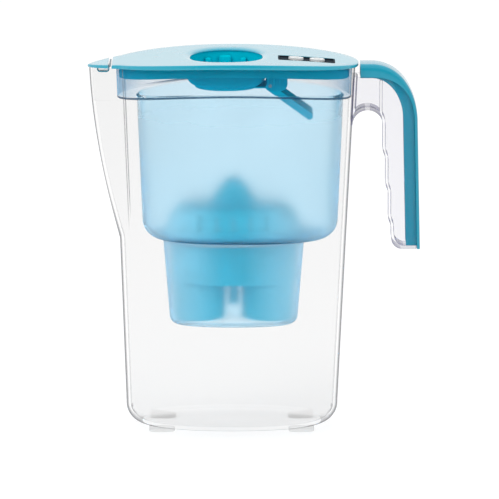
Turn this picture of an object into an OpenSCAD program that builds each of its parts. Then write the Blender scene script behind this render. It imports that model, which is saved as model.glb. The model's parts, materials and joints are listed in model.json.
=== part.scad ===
// Water filter pitcher with a flip lid, in millimetres.
// It stands on z = 0 with the spout towards -X and the handle towards +X.
// The funnel hangs in the jug, the cartridge stands in the funnel's well and the lid closes both.

/* [Jug] */
// Height of the jug rim above the table, at the middle of the jug
jug_height = 268.3; // [250:0.1:290]
// Length of the jug body at the rim, without spout and handle
jug_length = 175.2; // [168:0.1:190]
// Depth of the jug body at the rim, front to back
jug_depth = 108; // [102:0.5:120]
// Length that the jug body loses from rim to base
length_taper = 23.2; // [12:0.1:28]
// Depth that the jug body loses from rim to base
depth_taper = 6; // [0:0.1:10]
// How far the base leans towards the spout
base_lean = 1.8; // [0:0.1:4]
// Squareness of the oval plan, where 2 is an ellipse
plan_power = 2.3; // [2.1:0.05:2.8]
// Wall of the jug above its inner shoulder
jug_wall = 1.8; // [1.4:0.1:2.4]
// Width of the inner shoulder that carries the funnel
shoulder_width = 1.2; // [0.9:0.1:2]
// Thickness of the jug floor
jug_floor = 3; // [2:0.1:5]
// Rounding of the base at its two ends
base_round = 13; // [8:0.5:18]
// Rounding of the base along its front and back
base_round_side = 9; // [6:0.5:14]

/* [Spout] */
// How far the spout stands out from the body at the rim
spout_reach = 17.1; // [12:0.1:24]
// Width of the spout where it leaves the body
spout_width = 52; // [40:1:60]
// Height of the spout from its root to the rim
spout_height = 130; // [90:1:150]
// How fast the spout swells above its root
spout_bow = 1.8; // [1.2:0.1:2.4]
// Roundness of the spout's nose in plan
nose_power = 1.25; // [1.1:0.05:1.8]

/* [Feet] */
// Height of the feet
foot_height = 3; // [2:0.1:5]
// Length of one foot
foot_length = 18.5; // [12:0.5:24]
// Depth of one foot
foot_depth = 11; // [8:0.5:14]
// Distance between the feet along the jug
foot_spacing_x = 101; // [80:1:110]
// Distance between the feet across the jug
foot_spacing_y = 51; // [40:1:56]

/* [Funnel] */
// Height of the collar above its ledge
collar_height = 19.2; // [15:0.1:26]
// Radius of the arched ledge along the pitcher
ledge_radius = 600; // [500:10:1000]
// Wall of the funnel
funnel_wall = 1.6; // [1.2:0.1:2]
// Gap between the collar and the jug
collar_gap = 0.5; // [0.3:0.05:0.8]
// Length of the basin under the ledge
basin_length = 149.6; // [140:0.2:154]
// Depth of the basin under the ledge
basin_depth = 92; // [84:0.5:94]
// Height of the basin from its floor to the ledge
basin_height = 111; // [90:0.5:120]
// Length and depth that the basin loses towards its floor
basin_taper = 8; // [2:0.1:12]
// How far the basin sits towards the handle
basin_shift = 4.3; // [0:0.1:5]
// Rounding around the basin floor at its two ends
basin_round = 14; // [8:0.5:15]
// Rounding around the basin floor along its front and back
basin_round_side = 9; // [6:0.5:10]
// How far the well sits towards the spout
well_shift = 0.4; // [0:0.1:1.5]
// Length of the well's mouth
well_length = 102.4; // [100:0.2:106]
// Depth of the well's mouth
well_depth = 61; // [60:0.2:66]
// Height of the well below the basin floor
well_height = 63; // [60:0.5:75]
// Length and depth that the well loses towards its floor
well_taper = 9.4; // [6:0.1:10]
// Rounding around the well floor
well_round = 6; // [3:0.5:8]
// Length of the outlet in the well floor
outlet_length = 72; // [60:1:76]
// Depth of the outlet in the well floor
outlet_depth = 26; // [18:1:30]

/* [Cartridge] */
// Length of the oval upper cup
cup_length = 91.6; // [90:0.2:92]
// Depth of the oval upper cup
cup_depth = 50; // [44:0.2:51]
// Height of the whole cup
cup_height = 62.5; // [52:0.1:64]
// Wall of the cup
cup_wall = 1.4; // [1.1:0.1:1.8]
// How far the cup's flange rests on the basin floor around the well
flange_seat = 1.2; // [0.8:0.1:2]
// Thickness of the flange
flange_thickness = 2; // [1.4:0.1:3]
// Height of the two round lobes under the cup
lobe_height = 27; // [20:0.5:34]
// Diameter of a lobe where it leaves the cup
lobe_diameter = 38.8; // [34:0.2:39.4]
// How much smaller a lobe's radius is at its foot
lobe_draft = 0.8; // [0:0.1:1.5]
// How far the lobes' outer sides stay inside the ends of the cup
lobe_inset = 1.7; // [1.2:0.1:3]
// Diameter of the stub between the lobes
stub_d = 7.2; // [5:0.1:9]
// Length of the stub between the lobes
stub_length = 17; // [8:0.5:24]
// Diameter of the outlet under each lobe
lobe_outlet = 29; // [20:0.5:31]
// Height of the domed cap up to its shoulder
cap_height = 22; // [16:0.5:28]
// Height of the bell-shaped grip on the cap
bell_height = 18.5; // [12:0.5:24]
// Radius of the bell at its tip
bell_tip = 2.6; // [2:0.1:4]
// Number of slits in each side of the cap
slit_count = 5; // [3:1:7]
// Distance between two slits
slit_pitch = 12; // [8:0.5:13]
// Width of a slit
slit_width = 2.2; // [1.2:0.1:3]
// Height of the sealing ring under the flange
seal_height = 3; // [2:0.1:4]

/* [Lid] */
// Thickness of the lid at its middle
lid_thickness = 3.4; // [3:0.1:5]
// Top wall of the lid
lid_wall = 1.8; // [1.4:0.1:2.4]
// How far the lid stands out over the jug
lid_overhang = 2.2; // [1.5:0.1:3]
// Width of the band around the lid's underside
band_width = 3.2; // [2.4:0.1:4]
// Radius of the arched top along the pitcher
crown_radius = 800; // [600:10:1200]
// Radius of the arched seat between jug and lid
seat_radius = 1000; // [800:10:1400]
// Height of the skirt inside the collar
skirt_height = 6.6; // [5:0.1:10]
// Wall of the skirt
skirt_wall = 1.6; // [1.2:0.1:2.2]

/* [Fill opening] */
// Length of the fill opening in the lid
fill_length = 52; // [46:0.5:54]
// Depth of the fill opening in the lid
fill_depth = 68; // [58:0.5:70]
// Distance of the fill opening from the jug's middle, towards the spout
fill_offset = 5.7; // [3:0.1:9]
// Height of the fill bowl under the lid's top
bowl_height = 21; // [18:0.1:24]
// Wall of the fill bowl
bowl_wall = 1.6; // [1.2:0.1:2.2]
// How far the lid stands in over the bowl
bowl_lip = 1.2; // [0.6:0.1:2]
// Width of the bowl's flange under the lid
bowl_flange = 2.4; // [2:0.1:2.5]
// Thickness of the bowl's flange
bowl_flange_thickness = 1.4; // [1:0.1:2]
// Rounding at the foot of the fill bowl
bowl_round = 7; // [5:0.5:9]
// Thickness of the flap plate
flap_thickness = 1; // [0.8:0.1:1.1]
// Diameter of the flap's hinge pin
flap_pin_d = 2.5; // [2:0.1:3]
// Height of the flap's hinge pin over the foot of the bowl
flap_pin_rise = 0.8; // [0.4:0.1:1.6]
// Wall of the flap's barrel around its pin
barrel_wall = 1.3; // [1:0.1:1.6]
// Width of the flap's counterweight arm
arm_width = 34; // [33:0.5:38]
// Thickness of the counterweight arm
arm_thickness = 5; // [4.8:0.1:6]
// Length of the counterweight arm
arm_length = 36; // [32:0.5:38]
// Slope of the counterweight arm when the flap is shut
arm_slope = 36; // [30:1:44]
// How far the arm's middle line runs under the hinge pin
arm_drop = 1.5; // [0:0.1:2]
// Length of the two cheeks that hold the flap's hinge pin
cheek_length = 15; // [12:0.5:18]
// Thickness of the two cheeks
cheek_thickness = 2.4; // [1.6:0.1:3]

/* [Spout flap] */
// Distance of the flap's hinge from the jug's middle
spout_hinge_reach = 89.5; // [88:0.1:92]
// Diameter of the hinge knuckles
knuckle_d = 2.3; // [2.1:0.1:2.5]
// Diameter of the spout flap's hinge pin
spout_pin_d = 1.2; // [1:0.1:1.3]
// Length of the flap's middle knuckle
mid_knuckle = 16; // [10:0.5:20]
// Length of each outer knuckle
side_knuckle = 9; // [6:0.5:10]
// Length of the locating loop under the flap
loop_length = 9; // [7:0.1:10]
// Depth of the locating loop, front to back
loop_depth = 9; // [6:0.5:10]
// Height of the locating loop
loop_height = 5; // [3:0.1:7]

/* [Change indicator] */
// Length of the indicator window
window_length = 41; // [38:0.5:44]
// Depth of the indicator window
window_depth = 24; // [20:0.5:28]
// Distance of the window's middle from the jug's middle, towards the handle
window_offset = 52.2; // [50:0.1:54]
// How far the window's middle lies towards the front of the lid
window_shift = 11; // [0:0.5:11.5]
// Height of the indicator tray
tray_height = 5.6; // [5:0.1:7]
// Wall of the indicator tray
tray_wall = 1.2; // [0.9:0.1:1.6]
// Rounding at the corners of the window
window_round = 2; // [1:0.1:4]
// Height of the wheels' faces over the lid's top
wheel_rise = 0.7; // [0:0.1:0.8]
// Diameter of a date wheel
wheel_d = 10.8; // [9:0.1:13.4]
// Thickness of a date wheel
wheel_thickness = 1.6; // [1.4:0.1:2.2]
// Distance between the two date wheels
wheel_spacing = 15.3; // [14.6:0.1:17]
// Diameter of a date wheel's pin
wheel_pin_d = 3; // [2.4:0.1:3.6]
// Number of grip notches around a date wheel
notch_count = 12; // [8:1:16]

/* [Handle] */
// How far the handle stands out from the jug rim
handle_reach = 47; // [42:0.1:52]
// Width of the handle, front to back
handle_width = 26; // [22:0.5:30]
// Height of the handle from its top to its free end
handle_length = 134.9; // [115:0.1:150]
// How far the handle's top lies under the jug rim
handle_drop = 1.9; // [1:0.1:4]
// How far the free end stands out past the bend
handle_flare = 2; // [0:0.1:5]
// Length of the outer bend
bend_length = 34; // [28:0.5:38]
// Height of the outer bend
bend_height = 44; // [36:0.5:52]
// Height of the cover's side at the top of the handle
cover_side = 9.3; // [7:0.1:11]
// Thickness of the cover's outer strip
cover_strip = 2.2; // [1.6:0.1:3]
// Depth of the cover's rim inside the handle
cover_rim = 10.2; // [8:0.1:11]
// Wall of the clear handle
handle_wall = 2; // [1.6:0.1:2.6]
// Radius of the arch over the finger gap
arch_radius = 11; // [9:0.1:12.5]
// Height from the handle's top down to the finger gap
arch_drop = 33.4; // [28:0.1:40]
// Gap between the lid's edge and the handle's cover
cover_gap = 1.2; // [0.6:0.1:2]
// Number of finger steps
finger_count = 3; // [2:1:3]
// Height from one finger step to the next
finger_pitch = 25; // [20:0.5:27]
// Depth of each finger step
finger_step = 2.1; // [1:0.1:2.6]
// Rounding at the grip's lower inner corner
grip_corner = 8; // [4:0.5:10]

/* [Fits] */
// Gap where loose pieces rest on each other
rest_gap = 0.3; // [0.2:0.05:0.5]
// Gap where fixed pieces fit into each other
seat_gap = 0.1; // [0.05:0.01:0.15]
// Gap around a turning pin
pin_gap = 0.05; // [0.03:0.01:0.1]
// Gap beside a moving piece
side_gap = 0.4; // [0.3:0.05:0.6]

/* [Hidden] */
$fn = 64;

// Points around an oval, and along the spout's nose
oval_steps = 48;
body_steps = 36;
nose_steps = 12;
round_steps = 4;
spout_steps = 7;
bell_steps = 6;
bend_steps = 12;
arch_steps = 12;
grip_steps = 20;
corner_steps = 5;
screen_thickness = 0.8;

// Outline of the cartridge's cap: how far its ends and its sides draw in, at a part of its height
cap_steps = [[0, 0, 0], [1.6, 1, 0.25], [4.4, 2.4, 0.6], [8, 4.4, 0.84], [12, 7.5, 0.96], [19, 11.5, 1]];
// How far the bell spreads at its foot, along and across the pitcher
bell_spread_x = 15;
bell_spread_y = 10;

// The jug stands so that spout and handle reach equally far from x = 0.
jug_x = (spout_reach + lid_overhang / 2 - handle_reach) / 2;
wall_tilt = atan((length_taper / 2 + base_lean) / jug_height);
lid_under = jug_height + rest_gap;
lid_top = lid_under + lid_thickness;

// Heights of the funnel, from the rim down
ledge_z = jug_height - collar_height;
basin_floor_z = ledge_z - basin_height;
well_floor_z = basin_floor_z - well_height;
collar_top = jug_height - rest_gap;
well_x = jug_x - well_shift;
basin_x = jug_x + basin_shift;

// Half sizes of the collar inside the jug, at a height
function collar_a(z) = jug_a(z) - jug_wall - collar_gap;
function collar_b(z) = jug_b(z) - jug_wall - collar_gap;

// How far the well has narrowed inside, at a height
function well_loss(z) =
    well_taper / 2 * (basin_floor_z + funnel_wall - z) / (well_height + funnel_wall - well_round);

// The cartridge hangs by its flange in the mouth of the well
flange_a = well_length / 2 - funnel_wall + flange_seat;
flange_b = well_depth / 2 - funnel_wall + flange_seat;
cup_top = basin_floor_z + funnel_wall + rest_gap + flange_thickness;
cup_z = cup_top - cup_height;
lobe_top = cup_z + lobe_height;
lobe_spacing = cup_length - lobe_diameter - 2 * lobe_inset;

// Places in the lid
skirt_z = lid_under - skirt_height;
skirt_a = collar_a(skirt_z) - funnel_wall - side_gap;
skirt_b = collar_b(skirt_z) - funnel_wall - side_gap;
fill_x = jug_x - fill_offset;
bowl_a = fill_length / 2 + bowl_lip + bowl_wall;
bowl_b = fill_depth / 2 + bowl_lip + bowl_wall;
bowl_z = lid_top - bowl_height;
barrel_r = flap_pin_d / 2 + barrel_wall;
flap_pin_x = fill_x + bowl_a + side_gap + barrel_r;
flap_pin_z = bowl_z + flap_pin_rise;
cheek_x = flap_pin_x + cheek_length / 2 - barrel_r;
cheek_y = arm_width / 2 + side_gap + cheek_thickness / 2;
hinge_edge = (knuckle_d + side_gap) / 2;
spout_pin_x = jug_x - spout_hinge_reach;
spout_pin_z = (crown(spout_pin_x) + seat(spout_pin_x, lid_under)) / 2;
window_x = jug_x + window_offset;
window_tilt = asin(window_offset / crown_radius);

// Places in the handle
handle_top = jug_height - handle_drop;
handle_end = handle_top - handle_length;
handle_out = jug_x + jug_length / 2 + handle_reach;
bend_x = handle_out - handle_flare - bend_length;
arch_z = handle_top - arch_drop - arch_radius;
arch_x = jug_edge(arch_z) + arch_radius;
cover_x = jug_x + jug_length / 2 + lid_overhang + cover_gap;
inner_width = handle_width - 2 * handle_wall;

// Height of the lid's arched top, and of an arched seat, at a place along the pitcher
function crown(x) = lid_top - pow(x - jug_x, 2) / (2 * crown_radius);
function seat(x, z) = z - pow(x - jug_x, 2) / (2 * seat_radius);

// Half length, half depth, middle and handle side of the jug body at a height
function jug_a(z) = (jug_length - length_taper * (1 - z / jug_height)) / 2;
function jug_b(z) = (jug_depth - depth_taper * (1 - z / jug_height)) / 2;
function jug_mid(z) = jug_x - base_lean * (1 - z / jug_height);
function jug_edge(z) = let (sag = growing_sag(z, seat_radius) * pow(jug_a(z), 2)) jug_mid(z) + jug_a(z + sag);

// How far the spout stands out at a height
function spout_root() = jug_height - spout_height;
function spout_part(z) = min(1, max(0, (z - spout_root()) / spout_height));
function spout_out(z) = spout_reach * (1 - pow(1 - spout_part(z), spout_bow));

// Points of an oval plan with half sizes a and b
function oval_point(t, a, b) = [
    a * sign(cos(t)) * pow(abs(cos(t)), 2 / plan_power),
    b * sign(sin(t)) * pow(abs(sin(t)), 2 / plan_power)
];
function oval(a, b, steps = oval_steps) = [for (i = [0 : steps - 1]) oval_point(360 * i / steps, a, b)];

// Plan of the jug at a height, moved in by d, and further in by e at its ends and by f along its sides
function jug_plan(z, d, e = 0, f = 0) =
    let (
        a = jug_a(z) - d - e,
        b = jug_b(z) - d - f,
        w = (spout_width - d) / 2,
        t = 180 - asin(pow(w / b, plan_power / 2))
    ) concat(
        [for (i = [0 : body_steps]) oval_point(t * (2 * i / body_steps - 1), a, b)],
        [for (i = [1 : nose_steps - 1])
            nose_point(1 - 2 * i / nose_steps, a, b, w, spout_out(z) + min(0, d) / 2)]
    );
function nose_point(s, a, b, w, reach) = [
    -a * pow(1 - pow(abs(s) * w / b, plan_power), 1 / plan_power) - reach * (1 - pow(abs(s), nose_power)),
    w * s
];

// A plan lifted to height z about a middle, sagging towards its ends with the curvature k
function lift(plan, mid, z, k = 0) = [for (p = plan) [mid + p.x, p.y, z - k * p.x * p.x]];
function jug_ring(z, d, e = 0, f = 0, k = 0) = lift(jug_plan(z, d, e, f), jug_mid(z), z, k);

// A plan lifted to the underside of the lid's top, drop below its surface
function under_crown(plan, mid, drop) = [for (p = plan) [mid + p.x, p.y, crown(mid + p.x) - drop]];

// Curvature that grows from the spout's root to the rim
function growing_sag(z, radius) = spout_part(z) / (2 * radius);

// Triangles of a skin over m rings of n points, closed by fans or back to its first ring
function side(j, k, i, n) = [
    [j * n + i, k * n + (i + 1) % n, j * n + (i + 1) % n],
    [j * n + i, k * n + i, k * n + (i + 1) % n]
];
function ring_middle(ring) = [for (axis = [0 : 2]) sum(ring, axis) / len(ring)];
function sum(points, axis) = [for (p = points) 1] * [for (p = points) p[axis]];

module capped_skin(rings) {
    n = len(rings[0]);
    m = len(rings);
    polyhedron(
        points = concat([for (r = rings) each r], [ring_middle(rings[0]), ring_middle(rings[m - 1])]),
        faces = concat(
            [for (j = [0 : m - 2], i = [0 : n - 1]) each side(j, j + 1, i, n)],
            [for (i = [0 : n - 1]) [m * n, i, (i + 1) % n]],
            [for (i = [0 : n - 1]) [m * n + 1, (m - 1) * n + (i + 1) % n, (m - 1) * n + i]]
        )
    );
}

module looped_skin(rings) {
    n = len(rings[0]);
    m = len(rings);
    polyhedron(
        points = [for (r = rings) each r],
        faces = [for (j = [0 : m - 1], i = [0 : n - 1]) each side(j, (j + 1) % m, i, n)]
    );
}

// Outline stations: heights of the spout rings, and a quarter round as pairs of inset and rise
function spout_levels(top) = let (rise = (top - spout_root()) / spout_steps)
    [for (i = [0 : spout_steps]) spout_root() + rise * i];
function quarter(i) = let (t = 90 * i / round_steps) [1 - sin(t), 1 - cos(t)];

// Rings of the rounded base, from the floor up to the straight wall
function base_rings() = [for (i = [0 : round_steps]) jug_ring(
    foot_height + base_round * quarter(i)[1], 0,
    base_round * quarter(i)[0], base_round_side * quarter(i)[0]
)];

module jug_body() {
    thick = jug_wall + shoulder_width;
    step_z = ledge_z - funnel_wall - rest_gap;
    outer = concat(
        base_rings(),
        [for (z = spout_levels(jug_height)) jug_ring(z, 0, k = growing_sag(z, seat_radius))]
    );
    inner = concat(
        [
            jug_ring(jug_height, jug_wall, k = 1 / (2 * seat_radius)),
            jug_ring(step_z, jug_wall, k = 1 / (2 * ledge_radius)),
            jug_ring(step_z, thick, k = 1 / (2 * ledge_radius))
        ],
        [for (i = [1 : spout_steps]) let (z = spout_levels(step_z)[spout_steps - i])
            jug_ring(z, thick, k = spout_part(z) / (2 * ledge_radius))],
        [for (i = [round_steps : -1 : 0]) jug_ring(
            foot_height + jug_floor + (base_round - thick) * quarter(i)[1], thick,
            (base_round - thick) * quarter(i)[0], (base_round_side - thick) * quarter(i)[0]
        )]
    );
    color([0.86, 0.87, 0.9, 0.45]) capped_skin(concat(outer, inner));
}

module feet() {
    color([0.8, 0.82, 0.85, 0.8])
    difference() {
        for (sx = [-1, 1], sy = [-1, 1])
            translate([jug_mid(0) + sx * foot_spacing_x / 2, sy * foot_spacing_y / 2, 0])
                linear_extrude(foot_height + base_round / 2) pill(foot_length, foot_depth);
        capped_skin(base_rings());
    }
}

// Flat bar with round ends
module pill(length, width) {
    square([length - width, width], center = true);
    for (s = [-1, 1]) translate([s * (length - width) / 2, 0]) circle(d = width);
}

// One oval ring of the funnel, at height z
function funnel_ring(mid, a, b, z, k = 0) = lift(oval(a, b), mid, z, k);

// Rings from the outlet up to the collar's top, on a skin that lies d inside the funnel's outside
function funnel_side(d) =
    let (
        rim_k = 1 / (2 * seat_radius),
        ledge_k = 1 / (2 * ledge_radius),
        wa = (well_length - well_taper) / 2 - d,
        wb = (well_depth - well_taper) / 2 - d,
        ba = (basin_length - basin_taper) / 2 - d,
        bb = (basin_depth - basin_taper) / 2 - d,
        wr = well_round - d,
        br = basin_round - d,
        bs = basin_round_side - d,
        ledge = ledge_z - funnel_wall + d
    ) concat(
        [funnel_ring(well_x, outlet_length / 2, outlet_depth / 2, well_floor_z + d)],
        [for (i = [0 : round_steps]) let (q = quarter(i) * wr)
            funnel_ring(well_x, wa - q[0], wb - q[0], well_floor_z + d + q[1])],
        [funnel_ring(well_x, well_length / 2 - d, well_depth / 2 - d, basin_floor_z + d)],
        [for (i = [0 : round_steps]) let (q = quarter(i))
            funnel_ring(basin_x, ba - br * q[0], bb - bs * q[0], basin_floor_z + d + br * q[1])],
        [
            funnel_ring(basin_x, basin_length / 2 - d, basin_depth / 2 - d, ledge, ledge_k),
            funnel_ring(jug_x, collar_a(ledge_z) - d, collar_b(ledge_z) - d, ledge, ledge_k),
            funnel_ring(jug_x, collar_a(jug_height) - d, collar_b(jug_height) - d, collar_top, rim_k)
        ]
    );

module funnel() {
    inside = funnel_side(funnel_wall);
    last = len(inside) - 1;
    color([0.66, 0.88, 0.97, 0.6])
    looped_skin(concat(funnel_side(0), [for (i = [0 : last]) inside[last - i]]));
}

// Straight oval block from z upwards
module oval_block(mid, a, b, z, height) {
    translate([mid, 0, z]) linear_extrude(height) polygon(oval(a, b));
}

// Both lobes of the cartridge, as cones that start at height z
module lobes(r_low, r_high, z, height) {
    for (s = [-1, 1])
        translate([well_x + s * lobe_spacing / 2, 0, z]) cylinder(r1 = r_low, r2 = r_high, h = height);
}

module cartridge_cup() {
    a = cup_length / 2;
    b = cup_depth / 2;
    r = lobe_diameter / 2;
    color([0.25, 0.68, 0.82, 0.9])
    difference() {
        union() {
            oval_block(well_x, a, b, lobe_top, cup_top - lobe_top);
            oval_block(well_x, flange_a, flange_b, cup_top - flange_thickness, flange_thickness);
            lobes(r - lobe_draft, r, cup_z, lobe_height + cup_wall);
            translate([well_x, 0, lobe_top - stub_length]) cylinder(d = stub_d, h = stub_length + cup_wall);
        }
        oval_block(well_x, a - cup_wall, b - cup_wall, lobe_top + cup_wall, cup_height);
        lobes(r - lobe_draft - cup_wall, r - cup_wall, cup_z + cup_wall, lobe_height + 1);
        lobes(lobe_outlet / 2, lobe_outlet / 2, cup_z - 1, cup_wall + 2);
    }
}

// Outline of the cap from its rim to its top: half length, half depth and height over the cup
function cap_outline(d) =
    let (
        a = flange_a - d,
        b = flange_b - d,
        shoulder = cap_height - d
    ) [for (step = cap_steps) [a - step[0], b - step[1], shoulder * step[2]]];

// Outline of the bell on the cap, from its foot to its tip
function bell_outline() = [for (i = [0 : bell_steps]) let (r = 1 - i / bell_steps) [
    bell_tip + bell_spread_x * pow(r, 1.5),
    bell_tip + bell_spread_y * pow(r, 1.3),
    cap_height + bell_height * (1 - pow(r, 2.2)) - 0.4 * r
]];

module cartridge_cap() {
    inner = cap_outline(cup_wall);
    outer = concat(cap_outline(0), bell_outline());
    last = len(inner) - 1;
    slit_low = cap_height * 0.23;
    slit_tall = cap_height * 0.45;
    slit_deep = 12;
    color([0.3, 0.72, 0.85, 0.95])
    difference() {
        capped_skin(concat(
            [for (i = [0 : last]) let (p = inner[last - i]) lift(oval(p.x, p.y, 32), well_x, cup_top + p.z)],
            [for (p = outer) lift(oval(p.x, p.y, 32), well_x, cup_top + p.z)]
        ));
        for (i = [0 : slit_count - 1], s = [-1, 1]) translate([
            well_x + (i - (slit_count - 1) / 2) * slit_pitch,
            s * cup_depth / 2,
            cup_top + slit_low + slit_tall / 2
        ]) cube([slit_width, slit_deep, slit_tall], center = true);
    }
}

module cartridge_seal() {
    z = basin_floor_z - seal_height;
    side = funnel_wall + well_loss(z) + rest_gap;
    color([0.75, 0.85, 0.88])
    translate([well_x, 0, z]) linear_extrude(seal_height) difference() {
        polygon(oval(well_length / 2 - side, well_depth / 2 - side));
        polygon(oval(cup_length / 2 + seat_gap, cup_depth / 2 + seat_gap));
    }
}

// The screen lies on the filling, just under the mouth of the cup.
module inlet_screen() {
    color([0.9, 0.93, 0.95])
    cup_filling(cup_top - screen_thickness, screen_thickness);
}

// Oval block that fills the upper cup from z upwards
module cup_filling(z, height) {
    inset = cup_wall + seat_gap;
    oval_block(well_x, cup_length / 2 - inset, cup_depth / 2 - inset, z, height);
}

module filter_media() {
    r = lobe_diameter / 2 - cup_wall - seat_gap;
    low = cup_z + cup_wall + screen_thickness;
    step = lobe_top + cup_wall;
    color([0.35, 0.38, 0.4])
    union() {
        cup_filling(step, cup_top - screen_thickness - step);
        lobes(r - lobe_draft, r, low, step + 1 - low);
    }
}

module outlet_screens() {
    r = lobe_diameter / 2 - lobe_draft - cup_wall - seat_gap;
    color([0.9, 0.93, 0.95])
    lobes(r, r, cup_z + cup_wall, screen_thickness);
}

// Round bar across the pitcher with its middle at x and z
module cross_bar(x, z, r, length) {
    translate([x, 0, z]) rotate([90, 0, 0]) cylinder(r = r, h = length, center = true);
}

// Everything under an arch whose top lies at height z above the jug's middle
module under_arch(z, radius) {
    translate([jug_x, 0, z - radius]) rotate([90, 0, 0])
        cylinder(r = radius, h = 2 * jug_depth, center = true, $fn = 720);
}

// Block with the plan of the lid, moved in by d, tall enough for its arched faces
module lid_block(d) {
    translate([jug_x, 0, skirt_z]) linear_extrude(lid_top - skirt_z + lid_thickness)
        polygon(jug_plan(jug_height, d - lid_overhang));
}

// The lid's full slab between its arched seat and its arched top, spout end included
module lid_slab() {
    difference() {
        intersection() {
            lid_block(0);
            under_arch(lid_top, crown_radius);
        }
        under_arch(lid_under, seat_radius);
    }
}

// Space between two places along the pitcher, over the lid's whole depth and height
module lid_stretch(from, to) {
    translate([from, -jug_depth, skirt_z])
        cube([to - from, 2 * jug_depth, lid_top - skirt_z + lid_thickness]);
}

// Block in the frame of the indicator window, larger than it by grow on every side
module window_block(grow, low, high) {
    in_window() translate([0, 0, low]) linear_extrude(high - low)
        rounded_plate(window_length + 2 * grow, window_depth + 2 * grow, window_round + grow);
}

module rounded_plate(length, depth, r) {
    square([length - 2 * r, depth], center = true);
    square([length, depth - 2 * r], center = true);
    for (sx = [-1, 1], sy = [-1, 1]) translate([sx * (length / 2 - r), sy * (depth / 2 - r)]) circle(r = r);
}

module lid_shell() {
    front = spout_pin_x + hinge_edge;
    knuckle_y = (mid_knuckle + side_gap + side_knuckle) / 2;
    color([0.35, 0.75, 0.84])
    difference() {
        union() {
            difference() {
                lid_slab();
                lid_stretch(front - jug_length, front);
                intersection() {
                    lid_block(band_width);
                    under_arch(lid_top - lid_wall, crown_radius - lid_wall);
                    lid_stretch(front + band_width, front + 2 * jug_length);
                }
            }
            for (s = [-1, 1]) translate([0, s * knuckle_y, 0]) hinge_knuckle(side_knuckle, 1);
        }
        cross_bar(spout_pin_x, spout_pin_z, spout_pin_d / 2 + pin_gap, spout_width);
        oval_block(fill_x, fill_length / 2, fill_depth / 2, bowl_z, 2 * bowl_height);
        window_block(seat_gap, -2 * tray_height, tray_height);
    }
}

// Hinge knuckle of the spout flap with the tongue that joins it to the side that s points to
module hinge_knuckle(length, s) {
    tongue = hinge_edge + 0.2;
    cross_bar(spout_pin_x, spout_pin_z, knuckle_d / 2, length);
    translate([spout_pin_x + s * tongue / 2, 0, spout_pin_z])
        cube([tongue, length, knuckle_d * 0.8], center = true);
}

module lid_frame() {
    rib_count = 4;
    rib_pitch = 4;
    rib_width = 1.6;
    rib_rise = 1;
    cheek_low = flap_pin_z - barrel_r - 1;
    cheek_tall = lid_top - cheek_low;
    color([0.1, 0.6, 0.72])
    difference() {
        intersection() {
            union() {
                translate([jug_x, 0, skirt_z]) linear_extrude(lid_top - skirt_z) difference() {
                    polygon(oval(skirt_a, skirt_b));
                    polygon(oval(skirt_a - skirt_wall, skirt_b - skirt_wall));
                }
                for (s = [-1, 1]) translate([cheek_x, s * cheek_y, cheek_low + cheek_tall / 2]) {
                    cube([cheek_length, cheek_thickness, cheek_tall], center = true);
                    for (i = [0 : rib_count - 1]) translate([
                        (i - (rib_count - 1) / 2) * rib_pitch,
                        s * (cheek_thickness + rib_rise) / 2,
                        0
                    ]) cube([rib_width, rib_rise, cheek_tall], center = true);
                }
            }
            under_arch(lid_top - lid_wall, crown_radius - lid_wall);
        }
        cross_bar(flap_pin_x, flap_pin_z, flap_pin_d / 2 + pin_gap, jug_depth);
        window_block(seat_gap, -tray_height - seat_gap, tray_height);
    }
}

// Rings of the fill bowl's rounded foot, d inside its outside
function bowl_foot(d) = [for (i = [0 : round_steps]) let (q = quarter(i) * (bowl_round - d))
    lift(oval(bowl_a - d - q[0], bowl_b - d - q[0], 40), fill_x, bowl_z + d + q[1])];

// The oval tub under the fill opening, open at its foot, with a flange under the lid's top wall
module fill_bowl() {
    inside = bowl_foot(bowl_wall);
    low = lid_wall + seat_gap + bowl_flange_thickness;
    high = lid_wall + seat_gap;
    color([0.05, 0.62, 0.74])
    looped_skin(concat(
        bowl_foot(0),
        [for (p = [[0, low], [bowl_flange, low], [bowl_flange, high], [-bowl_wall, high]])
            under_crown(oval(bowl_a + p[0], bowl_b + p[0], 40), fill_x, p[1])],
        [for (i = [0 : round_steps]) inside[round_steps - i]]
    ));
}

module fill_flap() {
    lap = 1;
    plate_a = bowl_a - bowl_round + lap;
    plate_z = bowl_z - rest_gap - flap_thickness;
    tongue = flap_pin_x - fill_x - plate_a + 3;
    color([0.05, 0.66, 0.78])
    difference() {
        union() {
            oval_block(fill_x, plate_a, bowl_b - bowl_round + lap, plate_z, flap_thickness);
            translate([flap_pin_x - tongue, -arm_width / 2, plate_z])
                cube([tongue, arm_width, flap_thickness]);
            cross_bar(flap_pin_x, flap_pin_z, barrel_r, arm_width);
            translate([flap_pin_x, 0, flap_pin_z]) in_side_view(arm_width) rotate(-arm_slope)
                translate([arm_length / 2, -arm_drop]) pill(arm_length + arm_thickness, arm_thickness);
        }
        cross_bar(flap_pin_x, flap_pin_z, flap_pin_d / 2 + pin_gap, jug_depth);
    }
}

module fill_flap_pin() {
    color([0.75, 0.77, 0.8])
    cross_bar(flap_pin_x, flap_pin_z, flap_pin_d / 2, 2 * cheek_y + cheek_thickness);
}

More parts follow.
